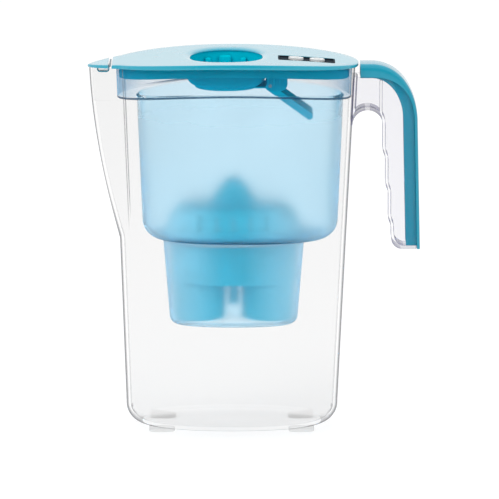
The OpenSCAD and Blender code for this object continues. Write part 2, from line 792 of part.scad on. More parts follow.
module spout_flap() {
    loop_x = spout_pin_x - knuckle_d / 4 - loop_length / 2;
    loop_wall = 0.9;
    loop_round = 2.2;
    overlap = 0.6;
    loop_top = seat(loop_x, lid_under) + overlap;
    color([0.35, 0.75, 0.84])
    difference() {
        union() {
            intersection() {
                lid_slab();
                lid_stretch(spout_pin_x - jug_length, spout_pin_x - hinge_edge);
            }
            hinge_knuckle(mid_knuckle, -1);
            translate([loop_x, 0, loop_top - loop_height]) in_side_view(loop_depth) difference() {
                loop_outline(loop_length, loop_height, loop_round);
                translate([0, loop_wall])
                    loop_outline(loop_length - 2 * loop_wall, loop_height, loop_round - loop_wall);
            }
        }
        cross_bar(spout_pin_x, spout_pin_z, spout_pin_d / 2 + pin_gap, spout_width);
    }
}

// Upright plate with round lower corners
module loop_outline(length, height, r) {
    translate([-length / 2, r]) square([length, height - r]);
    translate([-length / 2 + r, 0]) square([length - 2 * r, r + 0.1]);
    for (s = [-1, 1]) translate([s * (length / 2 - r), r]) circle(r = r);
}

module spout_flap_pin() {
    color([0.75, 0.77, 0.8])
    cross_bar(spout_pin_x, spout_pin_z, spout_pin_d / 2, mid_knuckle + 2 * side_knuckle + side_gap);
}

// Puts what it is given into the sloping frame of the indicator, with z = 0 in the lid's surface
module in_window() {
    translate([window_x, -window_shift, crown(window_x)]) rotate([0, window_tilt, 0]) children();
}

module indicator_tray() {
    rim_drop = 0.4;
    floor_z = wheel_rise - wheel_thickness - side_gap;
    color([0.18, 0.23, 0.25])
    difference() {
        window_block(0, -tray_height, -rim_drop);
        window_block(-tray_wall, floor_z, tray_height);
        in_window() for (s = [-1, 1]) translate([s * wheel_spacing / 2, 0, -tray_height - 1])
            cylinder(d = wheel_pin_d + 2 * pin_gap, h = tray_height + 2);
    }
}

module wheel_pins() {
    head_height = 0.4;
    head_d = wheel_pin_d + 1.4;
    head_z = wheel_rise + pin_gap;
    color([0.9, 0.9, 0.88])
    in_window() for (s = [-1, 1]) translate([s * wheel_spacing / 2, 0, 0]) {
        translate([0, 0, -tray_height]) cylinder(d = wheel_pin_d, h = tray_height + head_z);
        translate([0, 0, head_z]) cylinder(d = head_d, h = head_height);
    }
}

// Date wheel with grip notches around its edge
module date_wheel(s) {
    notch_d = 1.2;
    color([0.95, 0.95, 0.93])
    in_window() translate([s * wheel_spacing / 2, 0, wheel_rise - wheel_thickness]) difference() {
        cylinder(d = wheel_d, h = wheel_thickness);
        translate([0, 0, -1]) cylinder(d = wheel_pin_d + 2 * pin_gap, h = wheel_thickness + 2);
        for (i = [0 : notch_count - 1]) rotate(360 * i / notch_count)
            translate([wheel_d / 2 + notch_d / 5, 0, -1]) cylinder(d = notch_d, h = wheel_thickness + 2);
    }
}

module day_wheel() {
    date_wheel(-1);
}

module month_wheel() {
    date_wheel(1);
}

// Bend from straight up to straight out, with half sizes a and b about x and z
function bend(x, z, a, b, power) = [for (i = [0 : bend_steps]) let (t = 90 * i / bend_steps)
    [x + a * pow(sin(t), 2 / power), z + b * pow(cos(t), 2 / power)]];

// Outside of the handle, moved in by d: top, bend and back
function handle_back(d) = concat(
    [[cover_x, handle_top - d]],
    bend(bend_x, handle_top - bend_height, bend_length - d, bend_height - d, 2.15),
    [[handle_out - d, handle_end]]
);

// Seam between the clear handle and its cover: it starts low at the jug and runs out to the back
function seam(d) = concat(
    bend(bend_x, handle_top - bend_height, bend_length - cover_strip + d, bend_height - cover_side + d, 2.4),
    [[handle_out - cover_strip + d, handle_end]]
);

// Front of the grip at a height: each finger step is a soft rise around its own height
step_length = 7;
function step_part(z, i) =
    let (u = (arch_z - (i + 1) * finger_pitch + step_length - z) / step_length, v = min(1, max(0, u)))
    v * v * (3 - 2 * v);
function steps_done(z) = sum([for (i = [0 : finger_count - 1]) [step_part(z, i)]], 0);
function grip_x(z) = arch_x + arch_radius + finger_step * steps_done(z);

// Side outline of the clear handle, moved in by d, and out by more at the back where the cover closes it
function grip_outline(d, more) =
    let (
        end = handle_end + d,
        low = end + grip_corner,
        r = arch_radius + d,
        x = grip_x(low) + d + grip_corner,
        into_jug = 6
    ) concat(
        [for (i = [0 : arch_steps]) let (t = 180 * (1 - i / arch_steps))
            [arch_x + r * cos(t), arch_z + r * sin(t)]],
        [for (i = [1 : grip_steps]) let (z = arch_z + (low - arch_z) * i / grip_steps) [grip_x(z) + d, z]],
        [for (i = [1 : corner_steps]) let (t = 180 + 90 * i / corner_steps)
            [x + grip_corner * cos(t), low + grip_corner * sin(t)]],
        [[handle_out - cover_strip + more, end]],
        [for (i = [bend_steps : -1 : 0]) seam(more)[i]],
        [
            [jug_edge(handle_top) - into_jug + d, handle_top - cover_side + more],
            [jug_edge(arch_z) - into_jug + d, arch_z]
        ]
    );

module in_side_view(width) {
    translate([0, width / 2, 0]) rotate([90, 0, 0]) linear_extrude(width) children();
}

// Slice of the handle that lies past the jug's wall by gap, following the wall's plan and slope
module jug_wall_cut(gap) {
    mid_z = (arch_z + handle_top) / 2;
    tall = 2 * (handle_top - arch_z);
    translate([jug_edge(mid_z) + gap, 0, mid_z]) rotate([0, wall_tilt, 0])
        translate([-jug_a(mid_z), 0, -tall / 2]) linear_extrude(tall) polygon(jug_plan(mid_z, 0));
}

module handle_shell() {
    rib = 1.6;
    rib_x = arch_x + arch_radius - handle_wall;
    rib_top = handle_top - cover_rim - handle_wall;
    color([0.88, 0.88, 0.92, 0.5])
    difference() {
        in_side_view(handle_width) polygon(grip_outline(0, 0));
        difference() {
            in_side_view(inner_width) polygon(grip_outline(handle_wall, cover_side));
            translate([rib_x, -inner_width, arch_z]) cube([rib, 2 * inner_width, rib_top - arch_z]);
            jug_wall_cut(seat_gap + handle_wall);
        }
        jug_wall_cut(seat_gap);
    }
}

// Strip that follows the outside of the handle, between two depths
module back_strip(from, to) {
    inside = handle_back(to);
    last = len(inside) - 1;
    polygon(concat(handle_back(from), [for (i = [0 : last]) inside[last - i]]));
}

module handle_cover() {
    rim_wall = 1.8;
    overlap = 0.2;
    rim_low = handle_end + handle_wall + rest_gap;
    color([0.2, 0.7, 0.8])
    difference() {
        union() {
            in_side_view(handle_width) polygon(concat(
                handle_back(0),
                [for (i = [bend_steps + 1 : -1 : 0]) seam(0)[i]],
                [[cover_x, handle_top - cover_side]]
            ));
            in_side_view(inner_width - side_gap) intersection() {
                back_strip(cover_strip - overlap, cover_rim);
                translate([cover_x, rim_low]) square(handle_length);
            }
        }
        in_side_view(inner_width - side_gap - 2 * rim_wall) intersection() {
            back_strip(cover_strip, cover_rim + rim_wall);
            translate([cover_x + rim_wall, rim_low + rim_wall]) square(handle_length);
        }
    }
}

jug_body();
feet();
handle_shell();
handle_cover();
funnel();
cartridge_cup();
cartridge_cap();
cartridge_seal();
inlet_screen();
filter_media();
outlet_screens();
lid_shell();
lid_frame();
fill_bowl();
fill_flap();
fill_flap_pin();
spout_flap();
spout_flap_pin();
indicator_tray();
wheel_pins();
day_wheel();
month_wheel();
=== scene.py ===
"""Water filter pitcher with a flip lid: the looks of its clear jug, tinted funnel, teal lid and bowed handle."""

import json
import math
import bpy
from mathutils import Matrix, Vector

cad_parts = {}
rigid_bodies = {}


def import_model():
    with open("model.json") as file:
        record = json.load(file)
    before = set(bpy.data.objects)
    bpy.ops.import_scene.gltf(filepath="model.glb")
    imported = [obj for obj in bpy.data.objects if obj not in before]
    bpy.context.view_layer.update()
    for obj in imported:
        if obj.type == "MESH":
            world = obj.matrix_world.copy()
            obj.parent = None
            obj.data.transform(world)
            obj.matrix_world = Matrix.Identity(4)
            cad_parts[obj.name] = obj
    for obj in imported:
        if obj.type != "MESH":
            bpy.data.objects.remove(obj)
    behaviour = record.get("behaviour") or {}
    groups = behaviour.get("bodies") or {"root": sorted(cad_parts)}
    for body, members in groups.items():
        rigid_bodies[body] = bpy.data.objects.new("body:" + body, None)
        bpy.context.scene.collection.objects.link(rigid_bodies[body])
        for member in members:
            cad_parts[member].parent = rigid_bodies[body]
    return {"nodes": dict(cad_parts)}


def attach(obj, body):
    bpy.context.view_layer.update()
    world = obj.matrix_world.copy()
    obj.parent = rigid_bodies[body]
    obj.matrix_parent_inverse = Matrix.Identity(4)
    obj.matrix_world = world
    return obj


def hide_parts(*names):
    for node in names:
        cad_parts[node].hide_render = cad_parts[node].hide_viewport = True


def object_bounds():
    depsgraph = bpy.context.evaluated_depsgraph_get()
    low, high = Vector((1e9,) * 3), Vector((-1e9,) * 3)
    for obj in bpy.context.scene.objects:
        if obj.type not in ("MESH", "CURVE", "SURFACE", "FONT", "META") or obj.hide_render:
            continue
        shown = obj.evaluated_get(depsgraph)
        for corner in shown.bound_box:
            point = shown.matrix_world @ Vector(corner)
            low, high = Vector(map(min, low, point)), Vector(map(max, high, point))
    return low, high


bl_info = {
    "name": "Water Filter Pitcher",
    "version": (1, 0, 0),
    "blender": (4, 5, 0),
    "location": "3D View > Sidebar > Pitcher",
    "description": "Dresses the packed frame of a water filter pitcher with smooth pieces and plastic finishes",
    "category": "Object",
}

import bmesh
import bpy
import numpy as np
from bpy.props import FloatProperty, FloatVectorProperty, IntProperty, PointerProperty
from mathutils import Matrix, Vector

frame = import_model()
CAD_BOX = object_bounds()
MM = 0.001
TAU = 2 * math.pi
FLOOR_TOP = -0.05  # millimetres, just under the feet
SPOUT_SIDE = -0.04  # metres, past which the jug's creases show


# Sizes and colours


def millimetres(label, value, about):
    return FloatProperty(name=label, description=about, default=value, min=0.0, soft_max=400.0)


def colour(label, value, about):
    return FloatVectorProperty(
        name=label, description=about, subtype="COLOR", size=3, min=0.0, max=1.0, default=value)


class PitcherSizes(bpy.types.PropertyGroup):
    """Sizes of the pitcher in millimetres, the same as in its solids"""

    jug_height: millimetres("Jug height", 268.3, "Height of the jug rim above the table")
    jug_length: millimetres("Jug length", 175.2, "Length of the jug body at its rim")
    jug_depth: millimetres("Jug depth", 108.0, "Depth of the jug body at its rim")
    length_taper: millimetres("Length taper", 23.2, "Length that the jug loses towards its base")
    depth_taper: millimetres("Depth taper", 6.0, "Depth that the jug loses towards its base")
    base_lean: millimetres("Base lean", 1.8, "How far the base leans towards the spout")
    plan_power: FloatProperty(
        name="Plan power", description="Squareness of the oval plan", default=2.3, min=2.0, max=3.0)
    jug_wall: millimetres("Jug wall", 1.8, "Wall of the jug above its inner shoulder")
    shoulder_width: millimetres("Shoulder width", 1.2, "Width of the inner shoulder that carries the funnel")
    jug_floor: millimetres("Jug floor", 3.0, "Thickness of the jug floor")
    base_round: millimetres("Base rounding", 13.0, "Rounding of the base at its two ends")
    base_round_side: millimetres("Base side rounding", 9.0, "Rounding of the base along front and back")
    foot_height: millimetres("Foot height", 3.0, "Height of the feet")
    spout_reach: millimetres("Spout reach", 17.1, "How far the spout stands out at the rim")
    spout_width: millimetres("Spout width", 52.0, "Width of the spout where it leaves the body")
    spout_height: millimetres("Spout height", 130.0, "Height of the spout from root to rim")
    spout_bow: FloatProperty(name="Spout bow", description="How fast the spout swells above its root", default=1.8)
    nose_power: FloatProperty(name="Nose power", description="Roundness of the spout's nose in plan", default=1.25)
    collar_height: millimetres("Collar height", 19.2, "Height of the funnel's collar above its ledge")
    ledge_radius: millimetres("Ledge radius", 600.0, "Radius of the arched ledge")
    funnel_wall: millimetres("Funnel wall", 1.6, "Wall of the funnel")
    collar_gap: millimetres("Collar gap", 0.5, "Gap between collar and jug")
    basin_length: millimetres("Basin length", 149.6, "Length of the basin under its ledge")
    basin_depth: millimetres("Basin depth", 92.0, "Depth of the basin under its ledge")
    basin_height: millimetres("Basin height", 111.0, "Height of the basin")
    basin_taper: millimetres("Basin taper", 8.0, "Length and depth that the basin loses towards its floor")
    basin_shift: millimetres("Basin shift", 4.3, "How far the basin sits towards the handle")
    basin_round: millimetres("Basin rounding", 14.0, "Rounding around the basin floor at its ends")
    basin_round_side: millimetres("Basin side rounding", 9.0, "Rounding around the basin floor along its sides")
    well_shift: millimetres("Well shift", 0.4, "How far the well sits towards the spout")
    well_length: millimetres("Well length", 102.4, "Length of the well's mouth")
    well_depth: millimetres("Well depth", 61.0, "Depth of the well's mouth")
    well_height: millimetres("Well height", 63.0, "Height of the well")
    well_taper: millimetres("Well taper", 9.4, "Length and depth that the well loses towards its floor")
    well_round: millimetres("Well rounding", 6.0, "Rounding around the well floor")
    outlet_length: millimetres("Outlet length", 72.0, "Length of the outlet in the well floor")
    outlet_depth: millimetres("Outlet depth", 26.0, "Depth of the outlet in the well floor")
    cap_height: millimetres("Cap height", 22.0, "Height of the cartridge cap up to its shoulder")
    bell_height: millimetres("Bell height", 18.5, "Height of the bell-shaped grip on the cap")
    bell_tip: millimetres("Bell tip", 2.6, "Radius of the bell at its tip")
    lid_thickness: millimetres("Lid thickness", 3.4, "Thickness of the lid at its middle")
    lid_wall: millimetres("Lid wall", 1.8, "Top wall of the lid")
    lid_overhang: millimetres("Lid overhang", 2.2, "How far the lid stands out over the jug")
    band_width: millimetres("Band width", 3.2, "Width of the band around the lid's underside")
    crown_radius: millimetres("Crown radius", 800.0, "Radius of the lid's arched top")
    seat_radius: millimetres("Seat radius", 1000.0, "Radius of the arched seat between jug and lid")
    skirt_height: millimetres("Skirt height", 6.6, "Height of the skirt inside the collar")
    skirt_wall: millimetres("Skirt wall", 1.6, "Wall of the skirt")
    fill_length: millimetres("Fill length", 52.0, "Length of the fill opening")
    fill_depth: millimetres("Fill depth", 68.0, "Depth of the fill opening")
    fill_offset: millimetres("Fill offset", 5.7, "Distance of the fill opening from the middle")
    bowl_height: millimetres("Bowl height", 21.0, "Height of the fill bowl")
    bowl_wall: millimetres("Bowl wall", 1.6, "Wall of the fill bowl")
    bowl_lip: millimetres("Bowl lip", 1.2, "How far the lid stands in over the bowl")
    bowl_flange: millimetres("Bowl flange", 2.4, "Width of the bowl's flange")
    bowl_flange_thickness: millimetres("Bowl flange thickness", 1.4, "Thickness of the bowl's flange")
    bowl_round: millimetres("Bowl rounding", 7.0, "Rounding at the foot of the fill bowl")
    mouth_end: millimetres("Mouth end", 5.5, "Width of the soft edge at both ends of the fill opening")
    mouth_side: millimetres("Mouth side", 9.0, "Width of the soft edge along both sides of the fill opening")
    flap_pin_d: millimetres("Flap pin diameter", 2.5, "Diameter of the fill flap's hinge pin")
    flap_pin_rise: millimetres("Flap pin rise", 0.8, "Height of the fill flap's pin over the foot of the bowl")
    barrel_wall: millimetres("Barrel wall", 1.3, "Wall of the fill flap's barrel around its pin")
    arm_width: millimetres("Arm width", 34.0, "Width of the fill flap's counterweight arm")
    cheek_length: millimetres("Cheek length", 15.0, "Length of the two cheeks that hold the fill flap's pin")
    cheek_thickness: millimetres("Cheek thickness", 2.4, "Thickness of the two cheeks")
    spout_hinge_reach: millimetres("Spout hinge reach", 89.5, "Distance of the spout flap's hinge from the middle")
    knuckle_d: millimetres("Knuckle diameter", 2.3, "Diameter of the hinge knuckles")
    spout_pin_d: millimetres("Spout pin diameter", 1.2, "Diameter of the spout flap's hinge pin")
    mid_knuckle: millimetres("Middle knuckle", 16.0, "Length of the flap's middle knuckle")
    side_knuckle: millimetres("Side knuckle", 9.0, "Length of each outer knuckle")
    loop_length: millimetres("Loop length", 9.0, "Length of the locating loop under the spout flap")
    loop_depth: millimetres("Loop depth", 9.0, "Depth of the locating loop")
    loop_height: millimetres("Loop height", 5.0, "Height of the locating loop")
    window_length: millimetres("Window length", 41.0, "Length of the indicator window")
    window_depth: millimetres("Window depth", 24.0, "Depth of the indicator window")
    window_offset: millimetres("Window offset", 52.2, "Distance of the window from the middle")
    window_shift: millimetres("Window shift", 11.0, "How far the window lies towards the front")
    handle_reach: millimetres("Handle reach", 47.0, "How far the handle stands out from the rim")
    handle_width: millimetres("Handle width", 26.0, "Width of the handle")
    handle_length: millimetres("Handle length", 134.9, "Height of the handle")
    handle_drop: millimetres("Handle drop", 1.9, "How far the handle's top lies under the rim")
    handle_flare: millimetres("Handle flare", 2.0, "How far the free end stands out past the bend")
    bend_length: millimetres("Bend length", 34.0, "Length of the outer bend")
    bend_height: millimetres("Bend height", 44.0, "Height of the outer bend")
    cover_side: millimetres("Cover side", 9.3, "Height of the cover's side at the top of the handle")
    cover_strip: millimetres("Cover strip", 2.2, "Thickness of the cover's outer strip")
    cover_rim: millimetres("Cover rim", 10.2, "Depth of the cover's rim inside the handle")
    cover_gap: millimetres("Cover gap", 1.2, "Gap between the lid and the cover")
    handle_wall: millimetres("Handle wall", 2.0, "Wall of the clear handle")
    arch_radius: millimetres("Arch radius", 11.0, "Radius of the arch over the finger gap")
    arch_drop: millimetres("Arch drop", 33.4, "Height from the handle's top down to the finger gap")
    finger_pitch: millimetres("Finger pitch", 25.0, "Height from one finger step to the next")
    finger_step: millimetres("Finger step", 2.1, "Depth of each finger step")
    step_length: millimetres("Step length", 7.0, "Height over which a finger step rises")
    grip_corner: millimetres("Grip corner", 8.0, "Rounding at the grip's lower inner corner")
    rest_gap: millimetres("Rest gap", 0.3, "Gap where loose pieces rest on each other")
    seat_gap: millimetres("Seat gap", 0.1, "Gap where fixed pieces fit into each other")
    side_gap: millimetres("Side gap", 0.4, "Gap beside a moving piece")
    pin_gap: millimetres("Pin gap", 0.05, "Gap around a turning pin")
    smoothness: IntProperty(name="Smoothness", description="Points along a quarter of an oval", default=40, min=8)


class PitcherColours(bpy.types.PropertyGroup):
    """Colours of the pitcher's plastics, as linear values"""

    clear_face: colour("Clear face", (0.05, 0.05, 0.055), "Clear plastic seen straight on")
    clear_edge: colour("Clear edge", (0.22, 0.22, 0.24), "Clear plastic seen along its surface")
    handle_face: colour("Handle face", (0.05, 0.03, 0.30), "Clear handle seen straight on")
    handle_edge: colour("Handle edge", (0.26, 0.24, 0.38), "Clear handle seen along its surface")
    collar_face: colour("Collar face", (0.05, 0.50, 0.85), "Clear collar of the funnel seen straight on")
    collar_edge: colour("Collar edge", (0.05, 0.45, 0.80), "Clear collar of the funnel seen along its surface")
    funnel_face: colour("Funnel face", (0.74, 0.895, 0.97), "Tinted funnel seen straight on")
    funnel_edge: colour("Funnel edge", (0.28, 0.67, 0.92), "Tinted funnel seen along its surface")
    # Painted shade: a dark line painted along the funnel's ledge, standing in for the dark edge that light bent
    # through the ledge shows there
    ledge_shade_line: colour("Ledge line", (0.02, 0.09, 0.18), "Dark line along the funnel's ledge")
    floor_line: colour("Floor line", (0.10, 0.45, 0.68), "Line around the basin floor")
    cartridge: colour("Cartridge", (0.0, 0.58, 0.72), "Cartridge housing at its middle")
    # Painted highlight: the lighter colour at the cartridge's ends stands in for the light that its slanted ends
    # catch from the sides; the plastic is the same all along
    cartridge_painted_light_ends: colour("Cartridge ends", (0.50, 0.78, 0.86), "Milky ends of the cartridge housing")
    lid: colour("Lid", (0.0, 0.36, 0.50), "Lid and spout flap")
    inner: colour("Inner lid", (0.0, 0.39, 0.58), "Bowl, flap and skirt under the lid")
    # Painted light: the fill flap gets a lighter teal than the bowl and skirt of the same plastic, to make up for the
    # shade that the lid casts on it
    flap: colour("Fill flap", (0.0, 0.52, 0.72), "Fill flap with its arm")
    recess: colour("Recess", (0.0, 0.52, 0.64), "Inside of the fill bowl")
    cover: colour("Cover", (0.0, 0.30, 0.43), "Handle cover")
    tray: colour("Tray", (0.014, 0.022, 0.032), "Indicator tray")
    wheel: colour("Wheel", (0.80, 0.82, 0.82), "Date wheels")
    seal: colour("Seal", (0.56, 0.68, 0.74), "Sealing ring")
    floor: colour("Floor", (0.86, 0.87, 0.87), "Floor under the pitcher")


# Derived places


class Places:
    """Places that follow from the sizes, in millimetres"""

    def __init__(self, s):
        self.s = s
        self.jug_x = (s.spout_reach + s.lid_overhang / 2 - s.handle_reach) / 2
        self.lid_under = s.jug_height + s.rest_gap
        self.lid_top = self.lid_under + s.lid_thickness
        self.ledge_z = s.jug_height - s.collar_height
        self.basin_floor = self.ledge_z - s.basin_height
        self.well_floor = self.basin_floor - s.well_height
        self.well_x = self.jug_x - s.well_shift
        self.basin_x = self.jug_x + s.basin_shift
        self.cup_top = self.basin_floor + s.funnel_wall + s.rest_gap + 2.0
        self.fill_x = self.jug_x - s.fill_offset
        self.bowl_a = s.fill_length / 2 + s.bowl_lip + s.bowl_wall
        self.bowl_b = s.fill_depth / 2 + s.bowl_lip + s.bowl_wall
        self.bowl_z = self.lid_top - s.bowl_height
        self.hinge_edge = (s.knuckle_d + s.side_gap) / 2
        self.spout_pin_x = self.jug_x - s.spout_hinge_reach
        self.spout_pin_z = (self.crown(self.spout_pin_x) + self.seat(self.spout_pin_x)) / 2
        self.window_x = self.jug_x + s.window_offset
        self.window_tilt = math.asin(s.window_offset / s.crown_radius)
        self.handle_top = s.jug_height - s.handle_drop
        self.handle_end = self.handle_top - s.handle_length
        self.handle_out = self.jug_x + s.jug_length / 2 + s.handle_reach
        self.bend_x = self.handle_out - s.handle_flare - s.bend_length
        self.arch_z = self.handle_top - s.arch_drop - s.arch_radius
        self.arch_x = self.edge(self.arch_z) + s.arch_radius
        self.skirt_z = self.lid_under - s.skirt_height
        collar = s.jug_wall + s.collar_gap + s.funnel_wall + s.side_gap
        self.skirt_a = self.half_length(self.skirt_z) - collar
        self.skirt_b = self.half_depth(self.skirt_z) - collar
        self.barrel_r = s.flap_pin_d / 2 + s.barrel_wall
        self.flap_pin_x = self.fill_x + self.bowl_a + s.side_gap + self.barrel_r
        self.flap_pin_z = self.bowl_z + s.flap_pin_rise
        self.wall_tilt = math.atan((s.length_taper / 2 + s.base_lean) / s.jug_height)
        self.cover_x = self.jug_x + s.jug_length / 2 + s.lid_overhang + s.cover_gap

    def crown(self, x):
        """Height of the lid's arched top"""
        return self.lid_top - (x - self.jug_x) ** 2 / (2 * self.s.crown_radius)

    def seat(self, x):
        """Height of the arched seat between jug and lid"""
        return self.lid_under - (x - self.jug_x) ** 2 / (2 * self.s.seat_radius)

    def half_length(self, z):
        return (self.s.jug_length - self.s.length_taper * (1 - z / self.s.jug_height)) / 2

    def half_depth(self, z):
        return (self.s.jug_depth - self.s.depth_taper * (1 - z / self.s.jug_height)) / 2

    def middle(self, z):
        """Where the leaning jug has its middle at a height"""
        return self.jug_x - self.s.base_lean * (1 - z / self.s.jug_height)

    def spout_root(self):
        return self.s.jug_height - self.s.spout_height

    def spout_part(self, z):
        return min(1.0, max(0.0, (z - self.spout_root()) / self.s.spout_height))

    def spout_out(self, z):
        return self.s.spout_reach * (1 - (1 - self.spout_part(z)) ** self.s.spout_bow)

    def edge(self, z):
        """Handle side of the jug at a height"""
        sag = self.spout_part(z) / (2 * self.s.seat_radius) * self.half_length(z) ** 2
        return self.middle(z) + self.half_length(z + sag)

    def oval(self, a, b, count=None):
        """Plan of an oval about its own middle"""
        count = count or 4 * self.s.smoothness
        t = np.arange(count) * TAU / count
        return self.oval_at(t, a, b)

    def oval_at(self, t, a, b):
        p = 2 / self.s.plan_power
        x = a * np.sign(np.cos(t)) * np.abs(np.cos(t)) ** p
        y = b * np.sign(np.sin(t)) * np.abs(np.sin(t)) ** p
        return np.stack([x, y], 1)

    def oval_side(self, x, a, b):
        """Distance of an oval's side from its long axis at x"""
        return b * (1 - abs(x / a) ** self.s.plan_power) ** (1 / self.s.plan_power)

    def jug_plan(self, z, d=0.0, e=0.0, f=0.0):
        """Plan of the jug about its middle, moved in by d, by e more at its ends and f along its sides"""
        s = self.s
        body, nose = 4 * s.smoothness, s.smoothness + 8
        a, b = self.half_length(z) - d - e, self.half_depth(z) - d - f
        w = (s.spout_width - d) / 2
        t = math.pi - math.asin((w / b) ** (s.plan_power / 2))
        round_part = self.oval_at(t * (2 * np.arange(body + 1) / body - 1), a, b)
        u = 1 - 2 * np.arange(1, nose) / nose
        reach = self.spout_out(z) + min(0.0, d) / 2
        x = -a * (1 - (np.abs(u) * w / b) ** s.plan_power) ** (1 / s.plan_power)
        x = x - reach * (1 - np.abs(u) ** s.nose_power)
        return np.concatenate([round_part, np.stack([x, w * u], 1)])

    def jug_ring(self, z, d=0.0, e=0.0, f=0.0, k=0.0):
        return lift(self.jug_plan(z, d, e, f), self.middle(z), z, k)

    def bend(self, x, z, a, b, power):
        """Quarter of an oval in the side view, from its top down to its back"""
        t = np.linspace(0, math.pi / 2, 41)
        return np.stack([x + a * np.sin(t) ** (2 / power), z + b * np.cos(t).clip(0) ** (2 / power)], 1)

    def handle_back(self, d):
        """Outside of the handle in the side view, moved in by d: top, bend and back"""
        s = self.s
        curve = self.bend(self.bend_x, self.handle_top - s.bend_height, s.bend_length - d, s.bend_height - d, 2.15)
        return np.concatenate([[[self.cover_x, self.handle_top - d]], curve,
                               [[self.handle_out - d, self.handle_end]]])

    def seam(self, d):
        """Seam between the clear handle and its cover, moved out by d"""
        s = self.s
        curve = self.bend(self.bend_x, self.handle_top - s.bend_height, s.bend_length - s.cover_strip + d,
                          s.bend_height - s.cover_side + d, 2.4)
        return np.concatenate([curve, [[self.handle_out - s.cover_strip + d, self.handle_end]]])

    def grip_x(self, z):
        """Front of the grip at a height, with its soft finger steps"""
        s = self.s
        done = 0.0
        for i in range(1, 4):
            u = min(1.0, max(0.0, (self.arch_z - i * s.finger_pitch + s.step_length - z) / s.step_length))
            done += u * u * (3 - 2 * u)
        return self.arch_x + s.arch_radius + s.finger_step * done

    def grip_outline(self, d, more):
        """Side outline of the clear handle, moved in by d, and out by more where the cover closes it"""
        s = self.s
        end, r = self.handle_end + d, s.arch_radius + d
        low = end + s.grip_corner
        x = self.grip_x(low) + d + s.grip_corner
        t = np.radians(np.linspace(180, 0, 37))
        points = [(self.arch_x + r * math.cos(a), self.arch_z + r * math.sin(a)) for a in t]
        points += [(self.grip_x(z) + d, z) for z in np.linspace(self.arch_z, low, 72)[1:]]
        points += [(x + s.grip_corner * math.cos(a), low + s.grip_corner * math.sin(a))
                   for a in np.radians(np.linspace(180, 270, 13))[1:]]
        points += [(self.handle_out - s.cover_strip + more, end)]
        points += [tuple(p) for p in self.seam(more)[-2::-1]]
        inset = d - 6
        points += [(self.edge(self.handle_top) + inset, self.handle_top - s.cover_side + more),
                   (self.edge(self.arch_z) + inset, self.arch_z)]
        return np.array(points)


def sizes(context):
    """The sizes of the pitcher and the places that follow from them"""
    s = context.scene.pitcher_sizes
    return s, Places(s)


# Mesh helpers


def lift(plan, middle, z, k=0.0):
    """A plan raised to a height about a middle, sagging towards its ends"""
    return np.stack([middle + plan[:, 0], plan[:, 1], z - k * plan[:, 0] ** 2], 1)


def quarter(steps):
    """Steps in and up along a quarter round"""
    t = np.linspace(0, math.pi / 2, steps + 1)
    return list(zip(1 - np.sin(t), 1 - np.cos(t)))


def add_mesh(name, points, faces, sharp=35):
    """A smooth mesh object from points in millimetres, with edges kept sharp past an angle in degrees"""
    mesh = bpy.data.meshes.new(name)
    points = [tuple(p * MM) for p in np.asarray(points, float)]
    mesh.from_pydata(points, [], [tuple(int(i) for i in f) for f in faces])
    mesh.validate()
    obj = bpy.data.objects.new(name, mesh)
    bpy.context.scene.collection.objects.link(obj)
    finish_normals(obj, sharp)
    return obj


def finish_normals(obj, sharp=35):
    """Welds a mesh, turns its faces outwards and shades it smooth up to an angle in degrees"""
    mesh = obj.data
    work = bmesh.new()
    work.from_mesh(mesh)
    bmesh.ops.remove_doubles(work, verts=work.verts, dist=1e-7)
    bmesh.ops.recalc_face_normals(work, faces=work.faces)
    work.to_mesh(mesh)
    work.free()
    mesh.polygons.foreach_set("use_smooth", [True] * len(mesh.polygons))
    mesh.set_sharp_from_angle(angle=math.radians(sharp))
    mesh.update()


def skin(name, rings, closed=False, sharp=35):
    """A mesh over rings of equally many points, capped at both ends or closed back to its first ring"""
    rings = [np.asarray(r, float) for r in rings]
    n, m = len(rings[0]), len(rings)
    points = list(np.concatenate(rings))
    faces = []
    for j in range(m if closed else m - 1):
        k = (j + 1) % m
        for i in range(n):
            o = (i + 1) % n
            faces.append((j * n + i, j * n + o, k * n + o, k * n + i))
    if not closed:
        faces.append(tuple(range(n - 1, -1, -1)))
        faces.append(tuple(range((m - 1) * n, m * n)))
    return add_mesh(name, points, faces, sharp)


def prism(name, outline, width):
    """A plate across the pitcher from a side outline of x and z"""
    outline = np.asarray(outline, float)
    n = len(outline)
    front = [(x, -width / 2, z) for x, z in outline]
    back = [(x, width / 2, z) for x, z in outline]
    faces = [(i, (i + 1) % n, n + (i + 1) % n, n + i) for i in range(n)]
    faces += [tuple(range(n - 1, -1, -1)), tuple(range(n, 2 * n))]
    return add_mesh(name, front + back, faces)


def upright(name, plan, low, high):
    """A straight block over a plan, between two heights"""
    plan = np.asarray(plan, float)
    return skin(name, [[(x, y, z) for x, y in plan] for z in (low, high)])


def place(obj, matrix):
    """Moves the mesh of a piece"""
    obj.data.transform(matrix)
    obj.data.update()
    return obj


def apply_modifier(obj, kind, **settings):
    """Puts a modifier on a piece and keeps its result as the mesh"""
    modifier = obj.modifiers.new(kind.lower(), kind)
    for key, value in settings.items():
        setattr(modifier, key, value)
    bpy.context.view_layer.update()
    evaluated = obj.evaluated_get(bpy.context.evaluated_depsgraph_get())
    mesh = bpy.data.meshes.new_from_object(evaluated)
    obj.modifiers.clear()
    old, obj.data = obj.data, mesh
    mesh.name = obj.name
    bpy.data.meshes.remove(old)
    return obj


def soften(obj, width, segments=3, angle=40):
    """Rounds the hard edges of a piece by a width in millimetres"""
    apply_modifier(obj, "BEVEL", width=width * MM, segments=segments, limit_method="ANGLE",
                   angle_limit=math.radians(angle), use_clamp_overlap=True, harden_normals=False)
    finish_normals(obj)
    return obj


def carve(obj, *cutters, sharp=35):
    """Takes the cutters out of a piece and removes them"""
    for cutter in cutters:
        apply_modifier(obj, "BOOLEAN", operation="DIFFERENCE", solver="EXACT", object=cutter)
        bpy.data.objects.remove(cutter)
    finish_normals(obj, sharp)
    return obj


